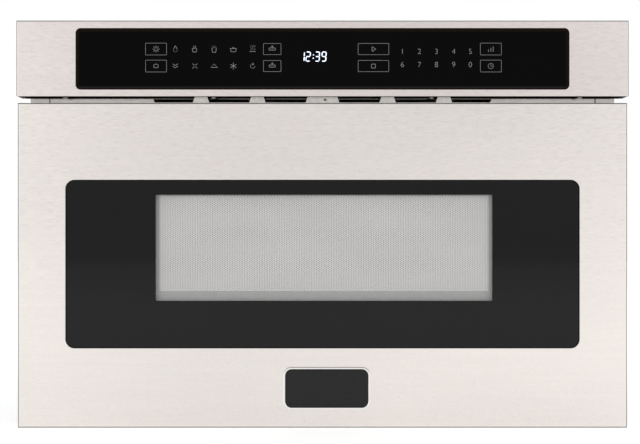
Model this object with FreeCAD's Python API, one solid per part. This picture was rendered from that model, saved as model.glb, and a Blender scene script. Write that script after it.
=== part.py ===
import FreeCAD, Part
import math
import os

# Built-in microwave drawer, in millimetres.
# X points right, Y points to the back, Z points up, seen from in front of the drawer.
# The origin is on the level of the drawer front's lower edge, in the middle of the width
# and of the depth.

Vector = FreeCAD.Vector

# ---------------------------------------------------------------- overall sizes
panel_overhang = 1.45           # the panel is this much wider than the drawer front, at each side
panel_height = 75.0
front_overhang = 6.75           # the drawer front than the front frame
front_over_cavity = 36.5        # the drawer front's top above the cavity
front_gap = 6.7                 # between the control panel and the drawer front
front_projection = 32.0         # both fronts stand this far out from the front frame
chassis_side_room = 48.0        # beside the cavity, for a slide and a rack
chassis_over_cavity = 96.0      # room for the waveguide, duct and power board
chassis_rear_room = 128.5       # behind the cavity, for the magnetron and the fan
chassis_lift = 11.0             # underside above the drawer front's lower edge
frame_flange = 17.0             # the frame is this much wider than the chassis at each side
frame_setback = 4.0             # the frame's top and bottom end inside the fronts' outline
frame_corner = 3.0
seam_x = 275.6                  # narrow seams seen at both ends of the gap
seam_width = 1.0
seam_height = 12.0
air_slot_lift = 1.3             # air slots in the frame above the drawer front
wrapper_lip = 12.0
sheet_corner = 1.0
base_side = 30.0                # height of the base pan's folded sides
base_rear = 18.0                # and of its rear lip

# ---------------------------------------------------------------- sheet thicknesses
frame_sheet = 1.5
chassis_sheet = 1.0
base_sheet = 1.2
cavity_sheet = 1.0
skin_sheet = 0.8
drawer_sheet = 1.2
tray_sheet = 1.5
bracket_sheet = 1.5
guide_sheet = 1.0               # waveguide
duct_wall = 1.5

# ---------------------------------------------------------------- clearances
seat_gap = 0.3                  # between pieces that only lie close together
sheet_fit = 0.1                 # a sheet or glass in its frame
running_fit = 0.05              # radial, a shaft in its bore
ball_fit = 0.1                  # a ball in its race
hole_fit = 0.2                  # radial, a screw in its hole
press_fit = 0.02                # radial, a gear on its shaft
ball_hole_fit = 0.15            # radial, a ball in its cage
opening_margin = 1.5            # round what moves through an opening
past = 1.0                      # cutters run this far past the faces that they cut
same_place = 0.01               # closer points count as one

# ---------------------------------------------------------------- control panel
control_glass_width = 486.2
control_glass_height = 58.2
control_glass_top = 8.9         # margin above the glass
control_glass_thickness = 3.0
control_glass_corner = 3.5
bezel_width = 1.3
bezel_depth = 5.2
bezel_ledge = 4.0
glass_recess = 0.2              # both glasses lie this far behind the steel
panel_edge_radius = 1.2
rear_lip = 12.0                 # folded lips at the back of both skins
housing_side_gap = 4.7          # inside the panel's outline
housing_wall = 2.0
display_width = 30.0
display_height = 16.0
display_x = -6.9
display_above_glass = 23.4      # glass's lower edge to the display's lower edge
display_thickness = 1.7
board_thickness = 1.6
board_overhang = 3.0            # the board ends inside the glass's outline
board_chips = (                 # left edge, width, height and depth of the parts on the board
    (-150.0, 40.0, 18.0, 8.0),
    (-60.0, 26.0, 26.0, 12.0),
    (40.0, 60.0, 20.0, 6.0),
    (110.0, 18.0, 18.0, 14.0),
)
chip_rise = 12.0
buzzer_x = -190.0
buzzer_radius = 7.0
buzzer_height = 9.0
plug_half = 9.0
plug_depth = 5.0

# ---------------------------------------------------------------- drawer front
drawer_glass_width = 508.0
drawer_glass_height = 165.8
drawer_glass_top = 76.6         # margin above the glass
drawer_glass_thickness = 4.0
drawer_glass_corner = 8.5
drawer_glass_gap = 0.6
window_width = 334.2
window_height = 105.3
window_x = 1.5                  # the clear window sits a little right of the middle
window_above_glass = 46.3       # glass's lower edge to the window's lower edge
window_corner = 3.0
holder_margin = 7.0             # the glass holder is larger than the glass
holder_base = 2.0
holder_relief = 4.0             # the holder's opening is larger than the window
screen_sheet = 0.6
screen_margin = 12.0
tunnel_margin = 5.5             # steel tunnel behind the window, larger than the window
tunnel_sheet = 1.2
inner_window_thickness = 3.0
drawer_edge_radius = 1.2
choke_gap = 1.0                 # closed drawer to front frame
choke_depth = 4.0
choke_width = 20.0
choke_corner = 3.0
choke_overlap = 4.0             # the choke cover reaches this far inside the cavity's sides
choke_rise = 2.0                # and this far above its floor
gasket_width = 3.0
badge_width = 86.2
badge_height = 41.7
badge_corner = 8.5
badge_rim = 1.9
badge_raise = 1.6
badge_x = 4.2
badge_z = 39.1
badge_plate_thickness = 0.8
badge_edge_radius = 0.5
drawer_screw_places = (-230.0, -80.0, 80.0, 230.0)
drawer_screw_levels = (90.0, 230.0)
slide_screw_offset = 5.0

# ---------------------------------------------------------------- cavity and tray
under_cavity = 79.0             # chassis underside to cavity floor
cavity_width = 460.0
cavity_height = 195.0
cavity_depth = 430.0
cavity_corner = 12.0
tray_side_gap = 8.0
tray_rear_gap = 13.5            # behind the closed tray
tray_front_gap = 19.0           # the tray's front plate ends this far under the choke cover
tray_front_rise = 37.0          # and this far above the tray's walls
tray_corner = 15.0
tray_rim = 3.0
glide_height = 2.7
glide_length = 40.0
glide_width = 30.0
glide_inset = 12.0
glide_corner = 4.0
ceramic_thickness = 4.0
ceramic_inset = 4.5

# ---------------------------------------------------------------- slides
slide_centre_height = 94.0      # above the chassis underside
slide_length = 450.0
drawer_travel = 381.0
outer_half = 23.0               # half heights of the three members
middle_half = 17.0
inner_half = 11.2
outer_web = 1.6
outer_flange = 3.0
outer_reach = 12.6              # how far the members reach inwards from the bracket
middle_start = 3.0
middle_reach = 12.2
middle_web = 1.4
middle_flange = 2.8
inner_start = 5.8
inner_reach = 13.4
inner_web = 1.6
inner_flange = 2.4
ball_radius = 2.2
ball_line = 8.2                 # distance of the ball rows from the bracket
race_depth = 0.8
cage_sheet = 0.8
cage_strip = 1.0
cage_start = 0.3                # gap between a member's web and the cage
cage_reach = 11.4
cage_length = 240.0
cage_setback = 104.0            # behind the front frame
balls_per_row = 8
cage_end = 12.0                 # cage's end to its first ball
slide_setback = 2.0             # members' front ends behind the front frame
bracket_gap = 0.3
bracket_foot = 24.0
bracket_rise = 7.0              # above the outer members
bracket_windows = (120.0, 220.0, 320.0)
bracket_window_length = 60.0
bracket_window_corner = 6.0
bracket_window_margin = 14.0
bracket_screw_setback = 80.0

# ---------------------------------------------------------------- drawer drive
rack_module = 1.5
pinion_teeth = 18
rack_drop = 31.5                # rack's pitch line below the slides' middle
rack_width = 9.0
rack_back = 12.0                # height of the rack's bar above its roots
rack_web = 3.0
rack_spare = 3                  # teeth past the pinion with the drawer fully open
rack_web_inset = 2.0
pinion_width = 9.0
tooth_play = 0.12
pressure_angle = math.radians(20)
root_depth = 1.25               # of the gears' teeth, in modules
shaft_setback = 39.0            # shaft axis behind the front frame
shaft_radius = 5.0
bush_radius = 7.5
bush_flange_radius = 9.5
bush_flange = 2.0
hub_radius = 9.0
hub_length = 6.0
gear_module = 1.0
shaft_gear_teeth = 48
motor_gear_teeth = 16
gear_width = 8.0
gear_x = 104.0
motor_spindle_radius = 3.0
gearbox_length = 40.0
gearbox_depth = 64.0
gearbox_height = 50.0
gearbox_spindle_offset = 21.0   # gearbox front to spindle
spindle_depth = 8.0
gearbox_gap = 1.5               # gear to gearbox
gearbox_foot_inset = 6.0
motor_can_radius = 19.0
motor_can_length = 55.0

# ---------------------------------------------------------------- interlock switches
hook_clear = 13.0               # choke cover to hook
hook_sheet = 4.0
hook_height = 16.0
hook_reach = 24.0
hook_base = 18.0
hook_foot_sheet = 3.0
hook_screw_offset = 12.0
hook_notch_start = 9.0          # from the tip
hook_notch_width = 5.0
hook_notch_height = 5.0
plunger_gap = 0.3
plunger_radius = 1.6
plunger_reach = 4.0
plunger_depth = 6.0
plunger_play = 1.5              # the plunger's travel
switch_width = 7.0
switch_height = 10.0
switch_length = 22.0
monitor_level = 250.0           # lower edges of the hooks above the chassis underside
primary_level = 250.0
secondary_level = 222.0

# ---------------------------------------------------------------- microwave source
guide_width = 86.0
guide_height = 40.0
stirrer_setback = 219.2         # its shaft behind the front frame's face
stirrer_radius = 66.0
stirrer_shaft_radius = 3.0
stirrer_hub_radius = 9.0
stirrer_blade_sheet = 1.0
stirrer_motor_radius = 24.0
stirrer_motor_height = 16.0
stirrer_cover_half = 92.0
stirrer_cover_depth = 14.0
stirrer_cover_wall = 1.5
stirrer_cover_corner = 14.0
stirrer_gap = 1.5               # above its cover
stirrer_hub_height = 5.0
stirrer_blade_width = 26.0
stirrer_blade_tilt = 12.0
stirrer_blades = 4
stirrer_spindle_depth = 10.0
shaft_way = 0.5                 # radial, shaft through the waveguide's roof
motor_ear = 8.0
motor_ear_sheet = 2.0
coupling_hole_radius = 20.0
guide_front_margin = 50.0       # waveguide in front of the stirrer's shaft
magnetron_setback = 60.0        # antenna in front of the rear cover
magnetron_width = 90.0
magnetron_depth = 82.0
magnetron_height = 82.0
magnetron_filter = 26.0
antenna_radius = 7.5
antenna_height = 26.0
antenna_base_radius = 10.0
antenna_base_height = 6.0
yoke_sheet = 2.0
yoke_plate = 4.0
anode_radius = 20.0
fin_count = 7
fin_sheet = 0.8
fin_inset = 6.0
filter_inset = 8.0
transformer_gap = 10.0          # its foot to the filter board
transformer_width = 92.0
transformer_depth = 44.0
transformer_height = 76.0
transformer_limb = 16.0
winding_play = 0.4
winding_corner = 6.0
primary_share = 0.55            # of the window's height
winding_split = 4.0             # between the two windings
transformer_foot = 10.0
transformer_foot_sheet = 2.0
winding_overhang = 13.0
capacitor_x = -40.0
capacitor_length = 56.0
capacitor_thickness = 34.0
capacitor_height = 95.0
capacitor_corner = 16.0
clip_sheet = 1.2
clip_level = 30.0
clip_height = 12.0

# ---------------------------------------------------------------- fan, vents and duct
fan_x = -140.0
fan_level = 231.0               # fan axis above the chassis underside
fan_size = 104.0
fan_depth = 38.0
impeller_radius = 46.0
impeller_hub_radius = 17.0
impeller_depth = 14.0
fan_shaft_radius = 2.5
fan_blades = 7
blade_pitch = 35.0
blade_chord = 24.0
blade_sheet = 1.6
blade_foot = 3.5                # the blades start inside the hub
fan_motor_radius = 16.0
fan_motor_length = 16.0
fan_corner = 8.0
fan_tip_gap = 2.0
strut_width = 6.0
strut_depth = 4.0
fan_bore_start = 3.0            # blind end of the motor's bore
vent_slot = 3.0
vent_pitch = 7.0
base_vent_columns = 6
base_vent_rows = 5
base_vent_pitch = 22.0
base_vent_width = 16.0
base_vent_setback = 22.0        # behind the cavity
side_vent_rows = 9
side_vent_rise = 10.0
side_vent_width = 30.0
side_vent_pitch = 40.0
cover_vent_rows = 8
cover_vent_left = 80.0
cover_vent_right = 200.0
vent_web = 2.0                  # half the bar between the two halves of the fan's grille
duct_half_width = 180.0
duct_length = 142.0
duct_height = 58.0
louver_sheet = 0.8
louver_slots = 6
louver_slot_pitch = 56.1
louver_slot_top = 44.3
louver_slot_bottom = 40.0
louver_centre_pitch = 73.3      # between the two middle slots
louver_margin = 0.6             # under the slots
louver_setback = 6.0            # behind the fronts
louver_lift = 0.3               # above the drawer front
louver_lip = 4.4
louver_hole_x = 2.5
louver_hole_radius = 1.4

# ---------------------------------------------------------------- small pieces
screw_radius = 1.7
screw_head_radius = 3.2
screw_head = 2.0
low_head = 1.3                  # of the screws in the gap
screw_length = 7.0
gap_screw_head_radius = 2.8
gap_screw_inner = 109.0
gap_screw_outer = 257.0
gap_screw_setback = 18.0        # in front of the front frame
cover_screw_pitch = 120.0
cover_screw_inset = 7.0
cover_screw_levels = (130.0, 259.0)
base_screw_places = (-200.0, -70.0, 70.0, 180.0)
base_screw_rise = 10.0
cross_recess = 0.8
cross_share = 0.6               # the recess's reach as a share of the head's radius
flange_hole_radius = 2.25
flange_hole_offset = 10.0       # outside the chassis
flange_hole_low = 60.0
flange_hole_high = 300.0
bushing_x = 225.0
bushing_level = 34.0            # above the chassis underside
bushing_bore = 4.6
bushing_radius = 9.0
bushing_flange_radius = 12.0
bushing_flange = 2.0
bushing_tail = 8.0
filter_side_room = 67.0         # chassis wall to the middle of the board
filter_setback = 47.0           # middle of the board behind the cavity
filter_board_width = 52.0
filter_board_depth = 64.0
choke_coil_radius = 12.0
choke_coil_height = 14.0
filter_can_width = 12.0
filter_can_height = 18.0
standoff_height = 6.0
standoff_radius = 3.0
power_board_x = 140.0
power_board_width = 150.0
power_board_depth = 130.0
power_board_y = 60.0
power_board_margin = 18.0
relay_count = 3
relay_pitch = 24.0
relay_width = 18.0
relay_length = 30.0
supply_length = 40.0
supply_width = 34.0
supply_height = 30.0
smoothing_radius = 9.0
plug_height = 8.0
lamp_y = -60.0
lamp_level = 150.0              # above the cavity floor
lamp_size = 30.0
lamp_depth = 20.0
lamp_wall = 2.0
lamp_socket_radius = 7.0
lamp_socket_length = 8.0
bulb_radius = 5.0
cavity_hole_radius = 1.2
cavity_hole_pitch = 4.0
cavity_hole_rows = 5
air_outlet_offset = 150.0       # the left wall's holes behind the lamp's
cutout_x = -120.0
cutout_y = 60.0
cutout_radius = 8.0
cutout_height = 9.0
tab_sheet = 0.8
tab_width = 6.3
tab_height = 9.0
support_x = 130.0
support_width = 36.0
support_depth = 40.0
support_foot = 14.0
support_y = 110.0
ribbon_width = 14.0
ribbon_sheet = 0.9
ribbon_x = 190.0
ribbon_bend = 9.0
ribbon_headroom = 4.5           # under the wrapper's top

# ---------------------------------------------------------------- places worked out
chassis_depth = frame_sheet + cavity_depth + chassis_rear_room
total_depth = badge_raise + front_projection + chassis_depth + screw_head
front_y = badge_raise - total_depth / 2
flange_y = front_y + front_projection
frame_back_y = flange_y + frame_sheet
rear_y = flange_y + chassis_depth
rear_inner_y = rear_y - chassis_sheet
skin_back_y = front_y + skin_sheet

cavity_floor = chassis_lift + under_cavity
cavity_top = cavity_floor + cavity_height
cavity_half = cavity_width / 2
cavity_back_y = frame_back_y + cavity_depth
roof_z = cavity_top + cavity_sheet

drawer_front_height = cavity_top + front_over_cavity
panel_bottom = drawer_front_height + front_gap
panel_top = panel_bottom + panel_height
chassis_top = cavity_top + chassis_over_cavity
chassis_half = cavity_half + chassis_side_room
frame_half = chassis_half + frame_flange
drawer_half = frame_half + front_overhang
panel_half = drawer_half + panel_overhang
flange_hole_x = chassis_half + flange_hole_offset
wall_inner = chassis_half - chassis_sheet
base_top = chassis_lift + base_sheet
filter_x = wall_inner - filter_side_room
transformer_x = (filter_x - filter_board_width / 2 - transformer_gap - transformer_foot
                 - transformer_width / 2)

choke_back_y = flange_y - choke_gap
panel_back_y = choke_back_y - choke_depth
drawer_plate_y = panel_back_y - drawer_sheet
glass_front_y = front_y + glass_recess
drawer_glass_bottom = drawer_front_height - drawer_glass_top - drawer_glass_height
drawer_glass_half = drawer_glass_width / 2
drawer_glass_back_y = glass_front_y + drawer_glass_thickness
holder_back_y = drawer_glass_back_y + holder_base
screen_back_y = holder_back_y + screen_sheet
window_left = window_x - window_width / 2
window_right = window_x + window_width / 2
window_bottom = drawer_glass_bottom + window_above_glass
window_top = window_bottom + window_height

choke_half = cavity_half - choke_overlap
choke_bottom = cavity_floor + choke_rise
choke_top = cavity_top - choke_overlap
hook_x = choke_half + choke_width + hook_clear + hook_sheet / 2

tray_half = cavity_half - tray_side_gap
tray_bottom = cavity_floor + seat_gap + glide_height
tray_front_y = panel_back_y
tray_inner_y = tray_front_y + tray_sheet
tray_back_y = cavity_back_y - tray_rear_gap
tray_floor = tray_bottom + tray_sheet
tray_front_top = choke_top - tray_front_gap

bracket_face = wall_inner - base_sheet - bracket_gap - bracket_sheet
slide_z = chassis_lift + slide_centre_height
slide_front_y = frame_back_y + slide_setback
slide_back_y = slide_front_y + slide_length
inner_face = bracket_face - inner_reach
outer_ball_z = outer_half - outer_flange + race_depth - ball_fit - ball_radius
inner_ball_z = middle_half - middle_flange + race_depth - ball_fit - ball_radius
race_radius = ball_radius + ball_fit

pinion_radius = rack_module * pinion_teeth / 2
rack_z = slide_z - rack_drop
shaft_z = rack_z - pinion_radius
shaft_y = flange_y + shaft_setback
rack_outer = inner_face
rack_inner = rack_outer - rack_width
pinion_middle = (rack_outer + rack_inner) / 2
motor_shaft_y = shaft_y + gear_module * (shaft_gear_teeth + motor_gear_teeth) / 2 + tooth_play
gearbox_x = gear_x + gear_width / 2 + gearbox_gap

ribbon_z = chassis_top - chassis_sheet - ribbon_headroom
guide_floor = roof_z
guide_top = guide_floor + guide_height
stirrer_y = flange_y + stirrer_setback
magnetron_y = rear_y - magnetron_setback
fan_z = chassis_lift + fan_level
fan_front_y = rear_inner_y - fan_depth
control_glass_half = control_glass_width / 2
control_glass_z = panel_top - control_glass_top - control_glass_height
control_glass_back_y = glass_front_y + control_glass_thickness
board_y = front_y + bezel_depth


# ---------------------------------------------------------------- basic shapes
def box(x0, x1, y0, y1, z0, z1):
    return Part.makeBox(x1 - x0, y1 - y0, z1 - z0, Vector(x0, y0, z0))


def rod_x(x0, x1, y, z, radius):
    return Part.makeCylinder(radius, x1 - x0, Vector(x0, y, z), Vector(1, 0, 0))


def rod_y(x, y0, y1, z, radius):
    return Part.makeCylinder(radius, y1 - y0, Vector(x, y0, z), Vector(0, 1, 0))


def rod_z(x, y, z0, z1, radius):
    return Part.makeCylinder(radius, z1 - z0, Vector(x, y, z0))


def rounded_outline(u0, u1, v0, v1, radius, place):
    """Rectangle with round corners; place turns its two coordinates into a point in space."""
    edges = []
    corners = [(u1, v1, 0), (u0, v1, 90), (u0, v0, 180), (u1, v0, 270)]
    ends = []
    for u, v, start in corners:
        cu = u - radius if u == u1 else u + radius
        cv = v - radius if v == v1 else v + radius
        points = []
        for turn in (0, 45, 90):
            angle = math.radians(start + turn)
            points.append(place(cu + radius * math.cos(angle), cv + radius * math.sin(angle)))
        edges.append(Part.Arc(*points).toShape())
        ends.append((points[0], points[2]))
    wire_edges = []
    for number, arc in enumerate(edges):
        wire_edges.append(arc)
        start = ends[number][1]
        finish = ends[(number + 1) % 4][0]
        if (finish - start).Length > same_place:
            wire_edges.append(Part.makeLine(start, finish))
    return Part.Face(Part.Wire(wire_edges))


def plate_y(x0, x1, z0, z1, y0, y1, radius):
    """Plate that faces the front, with round corners."""
    face = rounded_outline(x0, x1, z0, z1, radius, lambda u, v: Vector(u, y0, v))
    return face.extrude(Vector(0, y1 - y0, 0))


def plate_z(x0, x1, y0, y1, z0, z1, radius):
    """Plate that lies flat, with round corners."""
    face = rounded_outline(x0, x1, y0, y1, radius, lambda u, v: Vector(u, v, z0))
    return face.extrude(Vector(0, 0, z1 - z0))


def prism_x(points, x0, x1):
    """Outline of (y, z) points drawn out along X."""
    corners = [Vector(x0, y, z) for y, z in points]
    return Part.Face(Part.makePolygon(corners + corners[:1])).extrude(Vector(x1 - x0, 0, 0))


def mirrored(shape):
    return shape.mirror(Vector(0, 0, 0), Vector(1, 0, 0))


def both_sides(shape):
    return [shape, mirrored(shape)]


def union(shapes):
    whole = shapes[0].multiFuse(shapes[1:])
    return whole.removeSplitter()


def holed(shape, cutters):
    return shape.cut(Part.makeCompound(cutters)) if cutters else shape


def save(node, *shapes):
    """Write one node; each of its solids stays a separate solid."""
    solids = []
    for shape in shapes:
        solids.extend(shape.Solids)
    whole = solids[0] if len(solids) == 1 else Part.makeCompound(solids)
    if not whole.isValid():
        print("invalid shape:", node)
    whole.exportStep(os.path.join("parts", node + ".step"))


# ---------------------------------------------------------------- screws and gears
def screw(point, direction, head_radius, head_height):
    """Pan-head screw with a cross recess; point is under the head, direction goes in."""
    inward = Vector(*direction)
    base = Vector(*point)
    head = Part.makeCylinder(head_radius, head_height, base, inward * -1)
    shank = Part.makeCylinder(screw_radius, screw_length, base, inward)
    body = union([head, shank])
    top = base - inward * head_height
    arm = head_radius * cross_share
    slots = []
    for side in (Vector(0, 0, 1), Vector(1, 0, 0)):
        across = side if abs(side.dot(inward)) < 0.5 else Vector(0, 1, 0)
        slots.append(bar_between(top - across * arm, top + across * arm, inward))
    return holed(body, slots)


def bar_between(start, end, inward):
    """Short bar of the cross recess, sunk into the screw's head."""
    along = (end - start).normalize()
    side = along.cross(inward) * (cross_recess / 2)
    corners = [start - side, start + side, end + side, end - side, start - side]
    return Part.Face(Part.makePolygon(corners)).extrude(inward * cross_recess)


def screw_hole(point, direction):
    inward = Vector(*direction)
    start = Vector(*point) - inward * screw_head
    return Part.makeCylinder(screw_radius + hole_fit, screw_length + 2 * screw_head, start, inward)


def involute_angle(base_radius, radius):
    """How far the flank has turned at this radius, from its start on the base circle."""
    tangent = math.sqrt(max(radius * radius / (base_radius * base_radius) - 1, 0))
    return tangent - math.atan(tangent)


def gear(module, teeth, middle_x, width, y, z, first_tooth):
    """Involute gear across X; first_tooth is the angle of a tooth from +Y towards +Z."""
    pitch_radius = module * teeth / 2
    base_radius = pitch_radius * math.cos(pressure_angle)
    tip_radius = pitch_radius + module
    root_radius = pitch_radius - root_depth * module
    half_pitch = math.pi / (2 * teeth) - tooth_play / (2 * pitch_radius)
    at_pitch = involute_angle(base_radius, pitch_radius)
    flank_start = max(base_radius, root_radius)
    steps = 5                   # points along each flank
    start_x = middle_x - width / 2

    def point(radius, angle):
        return Vector(start_x, y + radius * math.cos(angle), z + radius * math.sin(angle))

    edges = []
    for number in range(teeth):
        middle = first_tooth + 2 * math.pi * number / teeth
        rising, falling = [], []
        for step in range(steps + 1):
            radius = flank_start + (tip_radius - flank_start) * step / steps
            half = half_pitch + at_pitch - involute_angle(base_radius, radius)
            rising.append(point(radius, middle - half))
            falling.insert(0, point(radius, middle + half))
        foot = half_pitch + at_pitch - involute_angle(base_radius, flank_start)
        root_in, root_out = point(root_radius, middle - foot), point(root_radius, middle + foot)
        next_root = point(root_radius, middle + 2 * math.pi / teeth - foot)
        valley = point(root_radius, middle + math.pi / teeth)
        tip = Part.Arc(rising[-1], point(tip_radius, middle), falling[0]).toShape()
        tooth = [smooth_curve(rising), tip, smooth_curve(falling)]
        if base_radius > root_radius:
            tooth.insert(0, Part.makeLine(root_in, rising[0]))
            tooth.append(Part.makeLine(falling[-1], root_out))
        edges += tooth
        edges.append(Part.Arc(root_out, valley, next_root).toShape())
    return Part.Face(Part.Wire(edges)).extrude(Vector(width, 0, 0))


def smooth_curve(points):
    curve = Part.BSplineCurve()
    curve.interpolate(points)
    return curve.toShape()


# ---------------------------------------------------------------- chassis
def front_frame():
    through = (flange_y - past, frame_back_y + past)
    plate = plate_y(-frame_half, frame_half, frame_setback, panel_top - frame_setback,
                    flange_y, frame_back_y, frame_corner)
    cutters = [plate_y(-cavity_half, cavity_half, cavity_floor, cavity_top, *through, cavity_corner)]
    slide_opening = box(
        rack_inner - opening_margin, bracket_face - middle_start + opening_margin, *through,
        rack_z - rack_module - opening_margin, slide_z + outer_half - outer_flange + opening_margin)
    cutters += both_sides(slide_opening)
    for side, z in hook_levels():
        middle = side * hook_x
        cutters.append(box(middle - hook_sheet, middle + hook_sheet, *through,
                           z - 2 * opening_margin, z + hook_height + 2 * opening_margin))
    low_z, high_z = drawer_front_height + air_slot_lift, panel_bottom - seat_gap
    cutters += [air_slot(x, low_z, high_z, *through) for x in louver_centres()]
    for z in (flange_hole_low, flange_hole_high):
        cutters += both_sides(rod_y(flange_hole_x, *through, z, flange_hole_radius))
    seam = box(seam_x - seam_width / 2, seam_x + seam_width / 2, *through,
               panel_bottom - seam_height, panel_bottom)
    cutters += both_sides(seam)
    cutters.append(ribbon_way(*through))
    return holed(plate, cutters)


def ribbon_way(y0, y1):
    """Room for the ribbon cable in the sheets that it passes."""
    return box(ribbon_x - ribbon_width, ribbon_x + ribbon_width, y0, y1,
               ribbon_z - 4 * opening_margin, ribbon_z + 2 * opening_margin)


def louver_centres():
    """Middles of the air slots, left to right."""
    centres = []
    for number in range(louver_slots // 2):
        centre = louver_centre_pitch / 2 + number * louver_slot_pitch
        centres += [centre, -centre]
    return sorted(centres)


def air_slot(x, low_z, high_z, y0, y1):
    """Tapered opening over the drawer front."""
    wide, narrow = louver_slot_top / 2, louver_slot_bottom / 2
    corners = [Vector(x - narrow, y0, low_z), Vector(x + narrow, y0, low_z),
               Vector(x + wide, y0, high_z), Vector(x - wide, y0, high_z)]
    return Part.Face(Part.makePolygon(corners + corners[:1])).extrude(Vector(0, y1 - y0, 0))


def gap_screw_points():
    """Screws that go up into the panel's housing; their heads are seen in the gap."""
    places = (-gap_screw_outer, -gap_screw_inner, gap_screw_inner, gap_screw_outer)
    return [(x, flange_y - gap_screw_setback, panel_bottom) for x in places]


def base_pan():
    floor = box(-wall_inner, wall_inner, frame_back_y, rear_inner_y, chassis_lift, base_top)
    side = box(wall_inner - base_sheet, wall_inner, frame_back_y, rear_inner_y,
               base_top, base_top + base_side)
    front = box(-wall_inner, wall_inner, frame_back_y, frame_back_y + base_sheet,
                base_top, base_top + base_side)
    rear = box(-wall_inner, wall_inner, rear_inner_y - base_sheet, rear_inner_y,
               base_top, base_top + base_rear)
    pan = union([floor, front, rear] + both_sides(side))
    cutters = []
    first_x = fan_x - base_vent_columns * base_vent_pitch / 2
    for column in range(base_vent_columns):
        x = first_x + column * base_vent_pitch
        for row in range(base_vent_rows):
            y = cavity_back_y + base_vent_setback + row * 2 * vent_pitch
            cutters.append(box(x, x + base_vent_width, y, y + vent_slot,
                               chassis_lift - past, base_top + past))
    cutters += [screw_hole(point, (0, -1, 0)) for point in rear_screw_points()]
    cutters += both_sides(screw_hole(bracket_screw_point(), (0, 0, -1)))
    return holed(pan, cutters)


def outer_wrapper():
    lip = wrapper_lip
    outer = box(-chassis_half, chassis_half, frame_back_y, rear_inner_y, chassis_lift, chassis_top)
    inside = box(-wall_inner, wall_inner, frame_back_y - past, rear_inner_y - chassis_sheet,
                 chassis_lift - past, chassis_top - chassis_sheet)
    rear_way = box(-wall_inner + lip, wall_inner - lip, rear_inner_y - 2 * chassis_sheet,
                   rear_inner_y + past, chassis_lift - past, chassis_top - chassis_sheet - lip)
    below_lip = box(-wall_inner, wall_inner, rear_inner_y - 2 * chassis_sheet,
                    rear_inner_y + past, chassis_lift - past, base_top + base_side + seat_gap)
    front_lip = box(-wall_inner, wall_inner, frame_back_y, frame_back_y + chassis_sheet,
                    chassis_top - chassis_sheet - lip, chassis_top - chassis_sheet)
    cutters = [inside, rear_way, below_lip]
    for row in range(side_vent_rows):
        z = fan_z + (row - side_vent_rows / 2) * side_vent_rise
        for number in (1, 0):
            y = fan_front_y + side_vent_width / 2 - number * side_vent_pitch
            cutters.append(box(wall_inner - past, chassis_half + past, y - side_vent_width, y,
                               z, z + vent_slot))
    cutters += [screw_hole(point, (0, -1, 0)) for point in rear_screw_points()]
    shell = holed(outer, cutters)
    return holed(union([shell, front_lip]),
                 [ribbon_way(frame_back_y - past, frame_back_y + chassis_sheet + past)])


def rear_screw_points():
    """Screws round the rear cover, into the wrapper's lip and the base pan."""
    top = chassis_top - cover_screw_inset
    side = chassis_half - cover_screw_inset
    points = [(number * cover_screw_pitch, rear_y, top) for number in range(-2, 3)]
    for x in (-side, side):
        points += [(x, rear_y, chassis_lift + level) for level in cover_screw_levels]
    points += [(x, rear_y, base_top + base_screw_rise) for x in base_screw_places]
    return points


def rear_cover():
    cover = box(-chassis_half, chassis_half, rear_inner_y, rear_y, chassis_lift, chassis_top)
    cutters = [screw_hole(point, (0, -1, 0)) for point in rear_screw_points()]
    rows = int(impeller_radius // vent_pitch)
    for row in range(-rows, rows + 1):
        height = row * vent_pitch
        half = math.sqrt(impeller_radius ** 2 - height ** 2) - vent_web
        for side in (-1, 1):
            x0, x1 = sorted((fan_x + side * vent_web, fan_x + side * half))
            if x1 - x0 > vent_slot:
                cutters.append(box(x0, x1, rear_inner_y - past, rear_y + past,
                                   fan_z + height - vent_slot / 2, fan_z + height + vent_slot / 2))
    for row in range(cover_vent_rows):
        z = fan_z + (row - cover_vent_rows / 2) * vent_pitch
        cutters.append(box(cover_vent_left, cover_vent_right, rear_inner_y - past, rear_y + past,
                           z, z + vent_slot))
    cutters.append(rod_y(bushing_x, rear_inner_y - past, rear_y + past, chassis_lift + bushing_level,
                         bushing_radius + sheet_fit))
    return holed(cover, cutters)


def cord_bushing():
    """Plastic gland in the rear cover; the supply cord goes through its bore."""
    z = chassis_lift + bushing_level
    outer = rod_y(bushing_x, rear_y, rear_y + bushing_flange, z, bushing_flange_radius)
    barrel = rod_y(bushing_x, rear_inner_y - bushing_tail, rear_y, z, bushing_radius)
    lock = rod_y(bushing_x, rear_inner_y - bushing_tail, rear_inner_y - bushing_tail / 2, z,
                 bushing_flange_radius)
    bore = rod_y(bushing_x, rear_inner_y - bushing_tail - past, rear_y + bushing_flange + past, z,
                 bushing_bore)
    return holed(union([outer, barrel, lock]), [bore])


def cavity_supports():
    """Two folded brackets that carry the cavity's floor on the base pan."""
    x0, x1 = support_x - support_width / 2, support_x + support_width / 2
    y0, y1 = support_y - support_depth / 2, support_y + support_depth / 2
    top = cavity_floor - cavity_sheet
    outline = box(x0, x1, y0, y1, base_top, top)
    inside = box(x0 + bracket_sheet, x1 - bracket_sheet, y0 - past, y1 + past,
                 base_top - past, top - bracket_sheet)
    feet = [box(x0 - support_foot, x0 + bracket_sheet, y0, y1, base_top, base_top + bracket_sheet),
            box(x1 - bracket_sheet, x1 + support_foot, y0, y1, base_top, base_top + bracket_sheet)]
    return both_sides(union([outline.cut(inside)] + feet))


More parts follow.
